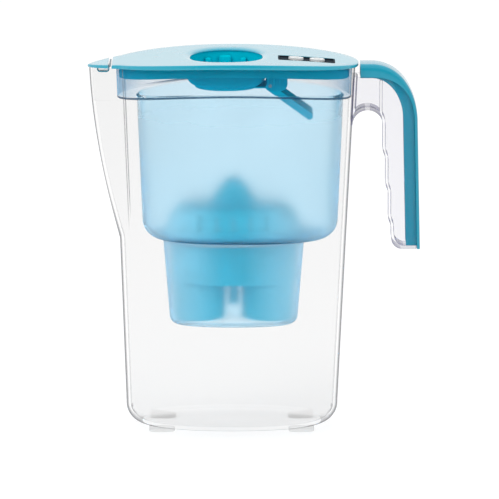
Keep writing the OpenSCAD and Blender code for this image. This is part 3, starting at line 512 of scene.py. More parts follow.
def join(name, *objs):
    """One mesh from several, each kept as its own shell"""
    work = bmesh.new()
    for obj in objs:
        work.from_mesh(obj.data)
    mesh = bpy.data.meshes.new(name)
    work.to_mesh(mesh)
    work.free()
    for obj in objs:
        bpy.data.objects.remove(obj)
    obj = bpy.data.objects.new(name, mesh)
    bpy.context.scene.collection.objects.link(obj)
    return obj


def bar(name, x, z, radius, length, y=0.0):
    """A round bar across the pitcher"""
    t = np.arange(40) * TAU / 40
    obj = prism(name, np.stack([x + radius * np.cos(t), z + radius * np.sin(t)], 1), length)
    return place(obj, Matrix.Translation((0, y * MM, 0)))


def block(name, low, high, soft=0.0):
    """A box between two corners, with its edges rounded by soft"""
    low, high = np.minimum(low, high), np.maximum(low, high)
    plan = [(low[0], low[1]), (high[0], low[1]), (high[0], high[1]), (low[0], high[1])]
    obj = upright(name, plan, low[2], high[2])
    return soften(obj, soft) if soft else obj


def rounded_rectangle(length, depth, radius):
    points = []
    for sx, sy, start in ((1, 1, 0), (-1, 1, 90), (-1, -1, 180), (1, -1, 270)):
        for t in np.radians(start + np.linspace(0, 90, 7)):
            points.append((sx * (length / 2 - radius) + radius * math.cos(t),
                           sy * (depth / 2 - radius) + radius * math.sin(t)))
    return np.array(points)


def clip_from(plan, x):
    """The part of a closed plan that lies past x, towards the handle"""
    out = []
    for p, q in zip(plan, np.roll(plan, -1, axis=0)):
        if p[0] >= x:
            out.append(tuple(p))
        if (p[0] - x) * (q[0] - x) < 0:
            t = (x - p[0]) / (q[0] - p[0])
            out.append((x, p[1] + t * (q[1] - p[1])))
    return np.array(out)


def star(plan, centre, angles):
    """Points where rays from a centre leave a closed plan"""
    p = np.asarray(plan, float) - centre
    q = np.roll(p, -1, axis=0)
    d = np.stack([np.cos(angles), np.sin(angles)], 1)
    e = q - p
    cross = d[:, 0:1] * e[None, :, 1] - d[:, 1:2] * e[None, :, 0]
    cross = np.where(np.abs(cross) < 1e-12, 1e-12, cross)
    t = (p[None, :, 0] * e[None, :, 1] - p[None, :, 1] * e[None, :, 0]) / cross
    u = (p[None, :, 0] * d[:, 1:2] - p[None, :, 1] * d[:, 0:1]) / cross
    hit = np.where((u >= -1e-9) & (u <= 1 + 1e-9) & (t > 0), t, 0)
    return centre + d * hit.max(axis=1)[:, None]


# Materials


def rgba(value):
    """A colour with its alpha; a socket stays as it is"""
    return value if isinstance(value, bpy.types.NodeSocket) else (*value, 1)


class Net:
    """The nodes of one material, group or world, with short calls for the kinds that are used most"""

    def __init__(self, tree):
        self.nodes, self.links = tree.nodes, tree.links

    def feed(self, node, inputs):
        """Links inputs of a node to sockets, and sets the others to their values"""
        for key, value in inputs.items():
            if isinstance(value, bpy.types.NodeSocket):
                self.links.new(value, node.inputs[key])
            else:
                node.inputs[key].default_value = value

    def add(self, kind, inputs=None, **settings):
        """A new node with its settings and its inputs"""
        node = self.nodes.new(kind)
        for key, value in settings.items():
            setattr(node, key, value)
        self.feed(node, inputs or {})
        return node

    def math(self, operation, *values):
        """The result of one operation on sockets or numbers"""
        return self.add("ShaderNodeMath", dict(enumerate(values)), operation=operation).outputs[0]

    def fold(self, operation, first, *others):
        """One operation carried over several sockets or numbers in turn"""
        for other in others:
            first = self.math(operation, first, other)
        return first

    def apart(self, first, second):
        """How far two numbers are apart"""
        return self.math("ABSOLUTE", self.math("SUBTRACT", first, second))

    def ramp(self, value, low, high, out_low=0.0, out_high=1.0):
        """A value taken from one range to another and held at both ends"""
        inputs = {"Value": value, "From Min": low, "From Max": high, "To Min": out_low, "To Max": out_high}
        return self.add("ShaderNodeMapRange", inputs).outputs["Result"]

    def blend(self, mask, first, second):
        """A mix of two numbers"""
        return self.add("ShaderNodeMix", {"Factor": mask, "A": first, "B": second}).outputs["Result"]

    def mix(self, mask, first, second):
        """A mix of two colours"""
        inputs = {"Factor": mask, "A": rgba(first), "B": rgba(second)}
        return self.add("ShaderNodeMix", inputs, data_type="RGBA").outputs["Result"]

    def where(self, kind="Object"):
        """Place of the point on its piece, in metres"""
        return self.add("ShaderNodeTexCoord").outputs[kind]

    def axes(self, kind="Object"):
        """X, Y and Z of that place"""
        return self.add("ShaderNodeSeparateXYZ", {0: self.where(kind)}).outputs

    def relief(self, height, strength, distance):
        """Normal of a fine relief"""
        inputs = {"Strength": strength, "Distance": distance, "Height": height}
        return self.add("ShaderNodeBump", inputs).outputs["Normal"]


def group(name, sockets_in, sockets_out, fill):
    """A shader node group with named inputs and outputs, filled the first time that it is asked for"""
    if name in bpy.data.node_groups:
        return bpy.data.node_groups[name]
    tree = bpy.data.node_groups.new(name, "ShaderNodeTree")
    for label, kind, default in sockets_in:
        socket = tree.interface.new_socket(name=label, in_out="INPUT", socket_type=kind)
        socket.default_value = default
    for label, kind in sockets_out:
        tree.interface.new_socket(name=label, in_out="OUTPUT", socket_type=kind)
    net = Net(tree)
    given, end = net.add("NodeGroupInput").outputs, net.add("NodeGroupOutput")
    net.feed(end, fill(net, given))
    return tree


def moulded_group():
    """Cloudy colour, uneven polish and a faint orange peel, as moulded plastic has"""

    def fill(net, given):
        where = net.where()
        cloud = net.add("ShaderNodeTexNoise", {"Vector": where, "Scale": 22.0, "Detail": 3.0}).outputs["Fac"]
        shade = net.math("MULTIPLY_ADD", net.ramp(cloud, 0.3, 0.7, -1.0, 1.0), given["Cloudiness"], 1.0)
        tint = net.add("ShaderNodeVectorMath", {0: given["Color"], "Scale": shade}, operation="SCALE")
        smear = net.add("ShaderNodeTexNoise", {"Vector": where, "Scale": 60.0, "Detail": 4.0}).outputs["Fac"]
        uneven = net.ramp(smear, 0.35, 0.75, -0.5, 1.0)
        polish = net.math("MULTIPLY_ADD", uneven, given["Unevenness"], given["Roughness"])
        peel = net.add("ShaderNodeTexNoise", {"Vector": where, "Scale": given["Grain"], "Detail": 2.0})
        return {"Color": tint.outputs[0], "Roughness": polish, "Height": peel.outputs["Fac"]}

    return group(
        "Moulded plastic",
        [("Color", "NodeSocketColor", (0.5, 0.5, 0.5, 1)), ("Cloudiness", "NodeSocketFloat", 0.06),
         ("Roughness", "NodeSocketFloat", 0.25), ("Unevenness", "NodeSocketFloat", 0.08),
         ("Grain", "NodeSocketFloat", 900.0)],
        [("Color", "NodeSocketColor"), ("Roughness", "NodeSocketFloat"), ("Height", "NodeSocketFloat")], fill)


def level_group():
    """1 on upright faces, and a given value on faces that look straight up or down"""

    def fill(net, given):
        normal = net.add("ShaderNodeNewGeometry").outputs["Normal"]
        upwards = net.math("ABSOLUTE", net.add("ShaderNodeSeparateXYZ", {0: normal}).outputs["Z"])
        return {"Value": net.blend(net.ramp(upwards, 0.986, 0.991), 1.0, given["Level value"])}

    return group("Level faces", [("Level value", "NodeSocketFloat", 0.3)], [("Value", "NodeSocketFloat")], fill)


def line_group():
    """A soft line around the piece at a height that sags towards both ends"""

    def fill(net, given):
        at = net.axes()
        away = net.math("SUBTRACT", at["X"], given["Middle"])
        raised = net.math("ADD", at["Z"], net.fold("MULTIPLY", away, away, given["Bend"]))
        part = net.math("DIVIDE", net.apart(raised, given["Height"]), given["Half width"])
        return {"Mask": net.ramp(part, 0.7, 1.0, 1.0, 0.0)}

    return group(
        "Height line",
        [("Height", "NodeSocketFloat", 0.2), ("Middle", "NodeSocketFloat", 0.0), ("Bend", "NodeSocketFloat", 0.0),
         ("Half width", "NodeSocketFloat", 0.001)],
        [("Mask", "NodeSocketFloat")], fill)


def height_line(net, height, middle, bend, half):
    """Mask of a soft line around a piece; sizes in metres, bend per metre"""
    inputs = {"Height": height, "Middle": middle, "Bend": bend, "Half width": half}
    return net.add("ShaderNodeGroup", inputs, node_tree=line_group()).outputs["Mask"]


def upright_part(net, level_value):
    """1 on upright faces, falling to a value on level ones"""
    return net.add("ShaderNodeGroup", {"Level value": level_value}, node_tree=level_group()).outputs["Value"]


def crease_mask(net, off_axis, width, low, high):
    """Mask of an upright line on the spout side at a distance from the long axis, fading in from low to high"""
    at = net.axes()
    line = net.ramp(net.apart(net.math("ABSOLUTE", at["Y"]), off_axis), width * 0.6, width, 1.0, 0.0)
    tall = net.ramp(at["Z"], low, high)
    return net.fold("MULTIPLY", line, tall, net.math("LESS_THAN", at["X"], SPOUT_SIDE))


def new_material(name):
    """A new material with nothing but its shader"""
    material = bpy.data.materials.new(name)
    material.use_nodes = True
    material.node_tree.nodes.clear()
    net = Net(material.node_tree)
    shader = net.add("ShaderNodeBsdfPrincipled")
    net.add("ShaderNodeOutputMaterial", {"Surface": shader.outputs["BSDF"]})
    return material, net, shader


def moulded(net, shader, base, roughness, cloudiness=0.05, unevenness=0.06, grain=900.0, bump=0.04):
    """Puts the moulded finish on a shader; base is a colour or a socket"""
    inputs = {"Color": rgba(base), "Cloudiness": cloudiness, "Roughness": roughness, "Unevenness": unevenness,
              "Grain": grain}
    finish = net.add("ShaderNodeGroup", inputs, node_tree=moulded_group())
    net.feed(shader, {"Base Color": finish.outputs["Color"], "Roughness": finish.outputs["Roughness"],
                      "Normal": net.relief(finish.outputs["Height"], bump, 0.0002)})
    return finish


def solid_plastic(name, base, roughness=0.25, coat=0.0, specular=0.5, **finish):
    """Plastic that nothing shows through"""
    material, net, shader = new_material(name)
    moulded(net, shader, base, roughness, **finish)
    net.feed(shader, {"Specular IOR Level": specular, "Coat Weight": coat, "Coat Roughness": 0.08})
    return material


def plastic_with_painted_end_light(name, middle, ends, x, starts, full):
    """Solid plastic with painted light: its colour turns lighter towards both ends of a piece, a painted highlight
    for the light that its slanted ends catch from the sides; x, starts and full in metres
    """
    material, net, shader = new_material(name)
    # painted highlight, growing with the distance from the middle of the piece
    painted_light = net.ramp(net.apart(net.axes()["X"], x), starts, full)
    moulded(net, shader, net.mix(painted_light, middle, ends), 0.4)
    net.feed(shader, {"Specular IOR Level": 0.3, "Sheen Weight": 0.3, "Sheen Roughness": 0.45,
                      "Sheen Tint": (0.75, 0.93, 1.0, 1)})
    return material


def clear_plastic(name, face, edge, face_alpha, edge_alpha, starts=0.76, ends=0.86, level_part=0.1, roughness=0.06,
                  lines=(), behind=1.0, creases=()):
    """See-through plastic that darkens where it is seen along its surface; its lines are painted shade and show on
    its near side only

    behind is the share of its tint that is left for a camera that looks through more than two other layers
    """
    material, net, shader = new_material(name)
    facing = net.add("ShaderNodeLayerWeight", {"Blend": 0.5}).outputs["Facing"]
    turned = net.ramp(facing, starts, ends)
    tint = net.mix(turned, face, edge)
    alpha = net.math("MULTIPLY", net.ramp(turned, 0.0, 1.0, face_alpha, edge_alpha), upright_part(net, level_part))
    marks = []
    # Painted shade lines: a dark tint painted at a height, on the near side only
    for height, middle, bend, half, dark, strength in lines:
        near = net.math("SUBTRACT", 1.0, net.add("ShaderNodeNewGeometry").outputs["Backfacing"])
        line = height_line(net, height, middle, bend, half)
        marks.append((net.fold("MULTIPLY", line, upright_part(net, 0.0), near), dark, strength))
    for off_axis, width, low, high, grazing in creases:
        mask = crease_mask(net, off_axis, width, low, high)
        if grazing:
            mask = net.math("MULTIPLY", mask, net.ramp(facing, 0.35, 0.6))
        marks.append((mask, edge, edge_alpha))
    for mask, dark, strength in marks:
        tint = net.mix(mask, tint, dark)
        alpha = net.math("MAXIMUM", alpha, net.math("MULTIPLY", mask, strength))
    if behind < 1:
        path = net.add("ShaderNodeLightPath").outputs
        thinned = net.ramp(path["Transparent Depth"], 2.4, 2.6, 1.0, behind)
        alpha = net.fold("MULTIPLY", alpha, thinned, path["Is Camera Ray"])
    moulded(net, shader, tint, roughness, cloudiness=0.03, unevenness=0.04, bump=0.02)
    net.feed(shader, {"Alpha": alpha, "IOR": 1.5, "Specular IOR Level": 0.0})
    return material


def frosted_plastic(name, face, edge, low, high, rough_low, rough_high, lines=()):
    """Tinted see-through plastic, frosted below one height and clearer above another"""
    material, net, shader = new_material(name)
    facing = net.add("ShaderNodeLayerWeight", {"Blend": 0.5}).outputs["Facing"]
    tint = net.mix(net.ramp(facing, 0.45, 0.85), face, edge)
    for height, middle, bend, half, dark in lines:
        tint = net.mix(height_line(net, height, middle, bend, half), tint, dark)
    finish = moulded(net, shader, tint, rough_low, cloudiness=0.02, unevenness=0.02, bump=0.02)
    net.feed(finish, {"Roughness": net.ramp(net.axes()["Z"], low * MM, high * MM, rough_low, rough_high)})
    net.feed(shader, {"Transmission Weight": 1.0, "IOR": 1.15, "Coat Weight": 0.8, "Coat IOR": 1.5,
                      "Coat Roughness": 0.3})
    return material


def steel(name):
    """Fine drawn wire"""
    material, net, shader = new_material(name)
    moulded(net, shader, (0.26, 0.30, 0.33), 0.4, grain=2500.0, bump=0.08)
    net.feed(shader, {"Metallic": 1.0})
    return material


def mesh_cloth(name, base):
    """Fine woven screen"""
    material, net, shader = new_material(name)
    where = net.where()
    threads = [net.add("ShaderNodeTexWave", {"Scale": 500.0, "Vector": where}, bands_direction=axis).outputs["Fac"]
               for axis in ("X", "Y")]
    weave = net.math("MULTIPLY", *threads)
    net.feed(shader, {"Base Color": net.mix(weave, base, [c * 0.6 for c in base]), "Roughness": 0.8,
                      "Normal": net.relief(weave, 0.3, 0.0003)})
    return material


def granules(name):
    """Loose dark grains with pale beads between them"""
    material, net, shader = new_material(name)
    cell = net.add("ShaderNodeTexVoronoi", {"Scale": 900.0, "Vector": net.where()}).outputs["Distance"]
    tint = net.mix(net.ramp(cell, 0.2, 0.7), (0.16, 0.15, 0.13), (0.02, 0.02, 0.022))
    net.feed(shader, {"Base Color": tint, "Roughness": 0.7, "Normal": net.relief(cell, 0.6, 0.0006)})
    return material


def finish_of(name):
    """A finish of the pitcher by its name, made once"""
    if name in bpy.data.materials:
        return bpy.data.materials[name]
    s, p = sizes(bpy.context)
    c = bpy.context.scene.pitcher_colours
    ledge, sag = p.ledge_z * MM, 500 / s.ledge_radius
    # Painted shade line along the funnel's ledge, drawn on the collar's near side
    ledge_shade_line = (ledge - s.funnel_wall / 2 * MM, p.jug_x * MM, sag, s.funnel_wall * 0.65 * MM, c.ledge_shade_line, 0.85)
    floor_line = ((p.basin_floor + 0.8) * MM, p.basin_x * MM, 0.0, 1.2 * MM, c.floor_line)
    spout_creases = [(s.spout_width / 2 * MM, 0.0005, 0.145, 0.165, False), (0.0, 0.0028, 0.14, 0.16, True)]
    glossy = {"bump": 0.0, "cloudiness": 0.01, "unevenness": 0.02}
    makers = {
        "Clear jug": lambda n: clear_plastic(
            n, c.clear_face, c.clear_edge, 0.045, 0.55, starts=0.72, ends=0.84, creases=spout_creases),
        "Clear jug inside": lambda n: clear_plastic(n, c.clear_face, c.clear_edge, 0.04, 0.16, level_part=0.3),
        "Clear feet": lambda n: clear_plastic(
            n, c.clear_face, c.clear_edge, 0.15, 0.4, roughness=0.2, level_part=0.3, behind=0.1),
        "Clear handle": lambda n: clear_plastic(
            n, c.handle_face, c.handle_edge, 0.045, 0.7, starts=0.6, ends=0.95, level_part=0.6),
        "Tinted collar": lambda n: clear_plastic(
            n, c.collar_face, c.collar_edge, 0.06, 0.5, starts=0.12, ends=0.95, level_part=0.05, lines=[ledge_shade_line]),
        "Tinted collar inside": lambda n: clear_plastic(
            n, c.collar_face, c.collar_edge, 0.05, 0.2, starts=0.12, ends=0.95, level_part=0.05),
        "Tinted funnel": lambda n: frosted_plastic(
            n, c.funnel_face, c.funnel_edge, p.ledge_z - 66, p.ledge_z - 8, 0.62, 0.16, [floor_line]),
        # The cartridge housing's lighter ends are a painted highlight
        "Cartridge housing": lambda n: plastic_with_painted_end_light(n, c.cartridge, c.cartridge_painted_light_ends, p.well_x * MM, 0.008, 0.046),
        "Lid plastic": lambda n: solid_plastic(n, c.lid, 0.28, coat=1.0, specular=0.25, **glossy),
        "Inner teal": lambda n: solid_plastic(n, c.inner, 0.4, specular=0.0),
        "Flap teal painted light": lambda n: solid_plastic(n, c.flap, 0.4, specular=0.0),
        "Recess teal": lambda n: solid_plastic(n, c.recess, 0.4, specular=0.0),
        "Cover plastic": lambda n: solid_plastic(n, c.cover, coat=0.7, specular=0.2, **glossy),
        "Dark tray": lambda n: solid_plastic(n, c.tray, 0.8, specular=0.1, bump=0.05),
        "White wheel": lambda n: solid_plastic(n, c.wheel, 0.5, cloudiness=0.02, specular=0.2),
        "Slit cloth": lambda n: mesh_cloth(n, (0.25, 0.72, 0.82)),
        "Soft seal": lambda n: solid_plastic(n, c.seal, 0.6, bump=0.1),
        "Steel wire": steel,
        "Screen cloth": lambda n: mesh_cloth(n, (0.78, 0.80, 0.82)),
        "Filter grains": granules,
    }
    return makers[name](name)


def dress(obj, finish, body=None, replaces=()):
    """Gives a piece its finish, its body and the solids that it stands for"""
    obj.data.materials.clear()
    obj.data.materials.append(finish_of(finish))
    if body:
        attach(obj, body)
        if replaces:
            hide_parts(*replaces)
    return obj


def dress_solid(node, finish):
    """Gives a solid of the frame a finish, with its round faces shown smooth"""
    obj = frame["nodes"][node]
    obj.data.materials.clear()
    obj.data.materials.append(finish_of(finish))
    obj.data.polygons.foreach_set("use_smooth", [True] * len(obj.data.polygons))
    obj.data.set_sharp_from_angle(angle=math.radians(30))


# Operators


class PITCHER_OT_stage(bpy.types.Operator):
    """Sets up the camera, the soft studio light and the pale floor"""

    bl_idname = "pitcher.stage"
    bl_label = "Stage"

    def execute(self, context):
        scene = context.scene
        scene.view_settings.view_transform = "Standard"
        data = bpy.data.cameras.new("Camera")
        data.lens, data.sensor_width = 453.7, 36
        data.clip_start, data.clip_end = 0.5, 60
        camera = bpy.data.objects.new("Camera", data)
        scene.collection.objects.link(camera)
        target = Vector((-0.0033, 0, 0.129))
        camera.location = (-0.0033, -4.5, 0.907)
        camera.rotation_euler = (target - camera.location).to_track_quat("-Z", "Y").to_euler()
        scene.camera = camera
        self.world(scene)
        self.lamp(scene, "Key light", (-1.6, -1.8, 2.2), 1.6, 26)
        self.lamp(scene, "Fill light", (1.9, -1.4, 1.5), 1.4, 9)
        self.lamp(scene, "Top light", (0.0, 0.5, 2.4), 1.8, 14)
        self.floor(scene.pitcher_colours.floor)
        return {"FINISHED"}

    def world(self, scene):
        """White where it is seen or looked through, plain light elsewhere, and darker low down in mirror images"""
        world = bpy.data.worlds.new("Studio")
        scene.world = world
        world.use_nodes = True
        world.node_tree.nodes.clear()
        net = Net(world.node_tree)
        path = net.add("ShaderNodeLightPath").outputs
        inside = net.math("GREATER_THAN", path["Transmission Depth"], 0.5)
        seen = net.fold("MAXIMUM", path["Is Camera Ray"], path["Is Transmission Ray"], inside)
        at = net.axes("Generated")
        sides = net.math("MAXIMUM", net.math("ABSOLUTE", at["X"]), net.math("MAXIMUM", at["Y"], at["Z"]))
        mirrored = net.blend(path["Is Glossy Ray"], 0.72, net.ramp(sides, 0.1, 0.7, 0.12, 1.0))
        inputs = {"Strength": net.blend(seen, mirrored, 1.0), "Color": (1, 1, 1, 1)}
        sky = net.add("ShaderNodeBackground", inputs)
        net.add("ShaderNodeOutputWorld", {"Surface": sky.outputs[0]})

    def lamp(self, scene, name, place, size, power):
        """A round soft lamp that looks at the pitcher"""
        data = bpy.data.lights.new(name, "AREA")
        data.shape, data.size, data.energy = "DISK", size, power
        lamp = bpy.data.objects.new(name, data)
        lamp.visible_glossy = False
        lamp.location = place
        lamp.rotation_euler = (Vector((0, 0, 0.15)) - lamp.location).to_track_quat("-Z", "Y").to_euler()
        scene.collection.objects.link(lamp)

    def floor(self, base):
        """A wide pale floor that keeps the pitcher's shadow"""
        far = 9000
        floor = upright("Floor", [(-far, -far), (far, -far), (far, far), (-far, far)], -10, FLOOR_TOP)
        material, net, shader = new_material("Pale floor")
        noise = net.add("ShaderNodeTexNoise", {"Scale": 3.0}).outputs["Fac"]
        shade = net.mix(noise, base, [c * 0.985 for c in base])
        path = net.add("ShaderNodeLightPath").outputs
        seen = net.fold("MAXIMUM", path["Is Camera Ray"], path["Is Transmission Ray"], path["Is Glossy Ray"])
        net.feed(shader, {"Roughness": 0.9, "Base Color": net.mix(seen, shade, (0.4, 0.4, 0.4)),
                          "Emission Strength": net.ramp(seen, 0, 1, 0.0, 0.64), "Emission Color": (1, 1, 1, 1)})
        floor.data.materials.append(material)


class PITCHER_OT_jug(bpy.types.Operator):
    """Makes the clear jug with its spout and its feet"""

    bl_idname = "pitcher.jug"
    bl_label = "Jug"

    def execute(self, context):
        s, p = sizes(context)
        thick = s.jug_wall + s.shoulder_width
        step = p.ledge_z - s.funnel_wall - s.rest_gap
        rim, soft = s.jug_height, 0.5
        rim_k, ledge_k = 1 / (2 * s.seat_radius), 1 / (2 * s.ledge_radius)
        rings = [p.jug_ring(s.foot_height + s.base_round * r, 0, s.base_round * i, s.base_round_side * i)
                 for i, r in quarter(14)]
        rings += [p.jug_ring(z, 0, k=p.spout_part(z) * rim_k) for z in np.linspace(p.spout_root(), rim - soft, 26)]
        rings += [p.jug_ring(rim - soft * r, soft * i, k=rim_k) for i, r in [(0.3, 0.3), (1, 0)]]
        rings += [p.jug_ring(rim - soft * r, s.jug_wall - soft * i, k=rim_k) for i, r in [(1, 0), (0.3, 0.3), (0, 1)]]
        rings += [p.jug_ring(step + 0.2, s.jug_wall, k=ledge_k), p.jug_ring(step, s.jug_wall + 0.2, k=ledge_k)]
        rings += [p.jug_ring(step, thick - 0.3, k=ledge_k), p.jug_ring(step - 0.3, thick, k=ledge_k)]
        rings += [p.jug_ring(z, thick, k=p.spout_part(z) * ledge_k)
                  for z in np.linspace(step - 1, p.spout_root(), 24)[1:]]
        low, end_round, side_round = s.foot_height + s.jug_floor, s.base_round - thick, s.base_round_side - thick
        rings += [p.jug_ring(low + end_round * r, thick, end_round * i, side_round * i)
                  for i, r in quarter(14)[::-1]]
        jug = skin("Jug", rings, sharp=28)
        dress(jug, "Clear jug", "jug", ["jug_body"])
        jug.data.materials.append(finish_of("Clear jug inside"))
        for face in jug.data.polygons:
            outwards = face.center - Vector((p.jug_x * MM, 0, face.center.z - face.normal.z))
            face.material_index = 1 if face.normal.dot(outwards) < 0 or face.normal.z > 0.5 else 0
        dress_solid("feet", "Clear feet")
        return {"FINISHED"}


class PITCHER_OT_funnel(bpy.types.Operator):
    """Makes the tinted funnel: collar, ledge, basin and well"""

    bl_idname = "pitcher.funnel"
    bl_label = "Funnel"

    def side(self, s, p, d):
        """Rings of the funnel's skin from its outlet up to the collar's rim, moved in by d"""
        rim_k, ledge_k = 1 / (2 * s.seat_radius), 1 / (2 * s.ledge_radius)

        def ring(x, a, b, z, k=0.0):
            return lift(p.oval(a, b), x, z, k)

        wa, wb = (s.well_length - s.well_taper) / 2 - d, (s.well_depth - s.well_taper) / 2 - d
        ba, bb = (s.basin_length - s.basin_taper) / 2 - d, (s.basin_depth - s.basin_taper) / 2 - d
        wr, br, bs = s.well_round - d, s.basin_round - d, s.basin_round_side - d
        ledge = p.ledge_z - s.funnel_wall + d

        def collar(z, height, k):
            a, b = p.half_length(z) - s.jug_wall - s.collar_gap, p.half_depth(z) - s.jug_wall - s.collar_gap
            return ring(p.jug_x, a - d, b - d, height, k)

        rings = [ring(p.well_x, s.outlet_length / 2, s.outlet_depth / 2, p.well_floor + d)]
        rings += [ring(p.well_x, wa - wr * i, wb - wr * i, p.well_floor + d + wr * r) for i, r in quarter(8)]
        rings += [ring(p.well_x, s.well_length / 2 - d, s.well_depth / 2 - d, p.basin_floor + d)]
        rings += [ring(p.basin_x, ba - br * i, bb - bs * i, p.basin_floor + d + br * r) for i, r in quarter(12)]
        rings += [ring(p.basin_x, s.basin_length / 2 - d, s.basin_depth / 2 - d, ledge, ledge_k)]
        rings += [collar(p.ledge_z, ledge, ledge_k), collar(s.jug_height, s.jug_height - s.rest_gap, rim_k)]
        return rings

    def execute(self, context):
        s, p = sizes(context)
        funnel = skin("Funnel", self.side(s, p, 0) + self.side(s, p, s.funnel_wall)[::-1], closed=True)
        soften(funnel, 0.5, angle=38)
        dress(funnel, "Tinted funnel", "funnel", ["funnel"])
        funnel.data.materials.append(finish_of("Tinted collar"))
        funnel.data.materials.append(finish_of("Tinted collar inside"))
        under = p.ledge_z - s.funnel_wall - 1.3  # just below the ledge, where the frosted basin starts
        for face in funnel.data.polygons:
            sag = (face.center.x / MM - p.jug_x) ** 2 / (2 * s.ledge_radius)
            outwards = face.center - Vector((p.jug_x * MM, 0, face.center.z))
            collar = 1 if face.normal.dot(outwards) > 0 else 2
            face.material_index = collar if face.center.z / MM + sag > under else 0
        return {"FINISHED"}


class PITCHER_OT_cartridge(bpy.types.Operator):
    """Makes the cartridge: oval cup with its lobes, domed cap with a bell, seal and screens"""

    bl_idname = "pitcher.cartridge"
    bl_label = "Cartridge"

    # How far the cap's shoulder has moved in at its ends and sides, and its share of the height
    SHOULDER = np.array([[0, 0, 0], [1.6, 1, 0.25], [4.4, 2.4, 0.6], [8, 4.4, 0.84], [12, 7.5, 0.96], [19, 11.5, 1]])
    SLITS, PITCH = 5, 12  # inlet slits on each side, and the distance from one to the next

    def execute(self, context):
        s, p = sizes(context)
        a = s.well_length / 2 - s.funnel_wall + 1.2
        b = s.well_depth / 2 - s.funnel_wall + 1.2
        t = np.linspace(0, 5, 21)
        fine = np.stack([np.interp(t, range(6), self.SHOULDER[:, i]) for i in range(3)], 1)

        def outline(d):
            return [(a - d - e, b - d - f, (s.cap_height - d) * h) for e, f, h in fine]

        bell = []
        for r in 1 - np.linspace(0, 1, 19):
            rise = s.cap_height + s.bell_height * (1 - r ** 2.2) - 0.4 * r
            bell.append((s.bell_tip + 15 * r ** 1.5, s.bell_tip + 10 * r ** 1.3, rise))
        rings = [lift(p.oval(x, y), p.well_x, p.cup_top + z) for x, y, z in outline(1.4)[::-1] + outline(0) + bell]
        cap = skin("Cartridge_cap", rings)
        slits, screens = [], []
        for i in range(self.SLITS):
            for j in (-1, 1):
                off = self.PITCH * (i - self.SLITS // 2)
                x = p.well_x + off
                slits.append(block("slit", (x - 1.1, j * 25 - 6, p.cup_top + 5),
                                   (x + 1.1, j * 25 + 6, p.cup_top + 15)))
                spots = [(j * p.oval_side(off, a - e - 0.8, b - f - 0.8), p.cup_top + s.cap_height * h)
                         for e, f, h in fine if 5.2 <= s.cap_height * h <= 14.8]
                screens.append(skin("screen", [[(x - 1.0, y, z), (x + 1.0, y, z), (x + 1.0, y - j * 0.3, z),
                                                (x - 1.0, y - j * 0.3, z)] for y, z in spots]))
        carve(cap, join("slits", *slits))
        dress(join("Slit_screens", *screens), "Slit cloth", "cartridge")
        dress(cap, "Cartridge housing", "cartridge", ["cartridge_cap"])
        for node, finish in (("cartridge_cup", "Cartridge housing"), ("cartridge_seal", "Soft seal"),
                             ("inlet_screen", "Screen cloth"), ("outlet_screens", "Screen cloth"),
                             ("filter_media", "Filter grains")):
            dress_solid(node, finish)
        return {"FINISHED"}


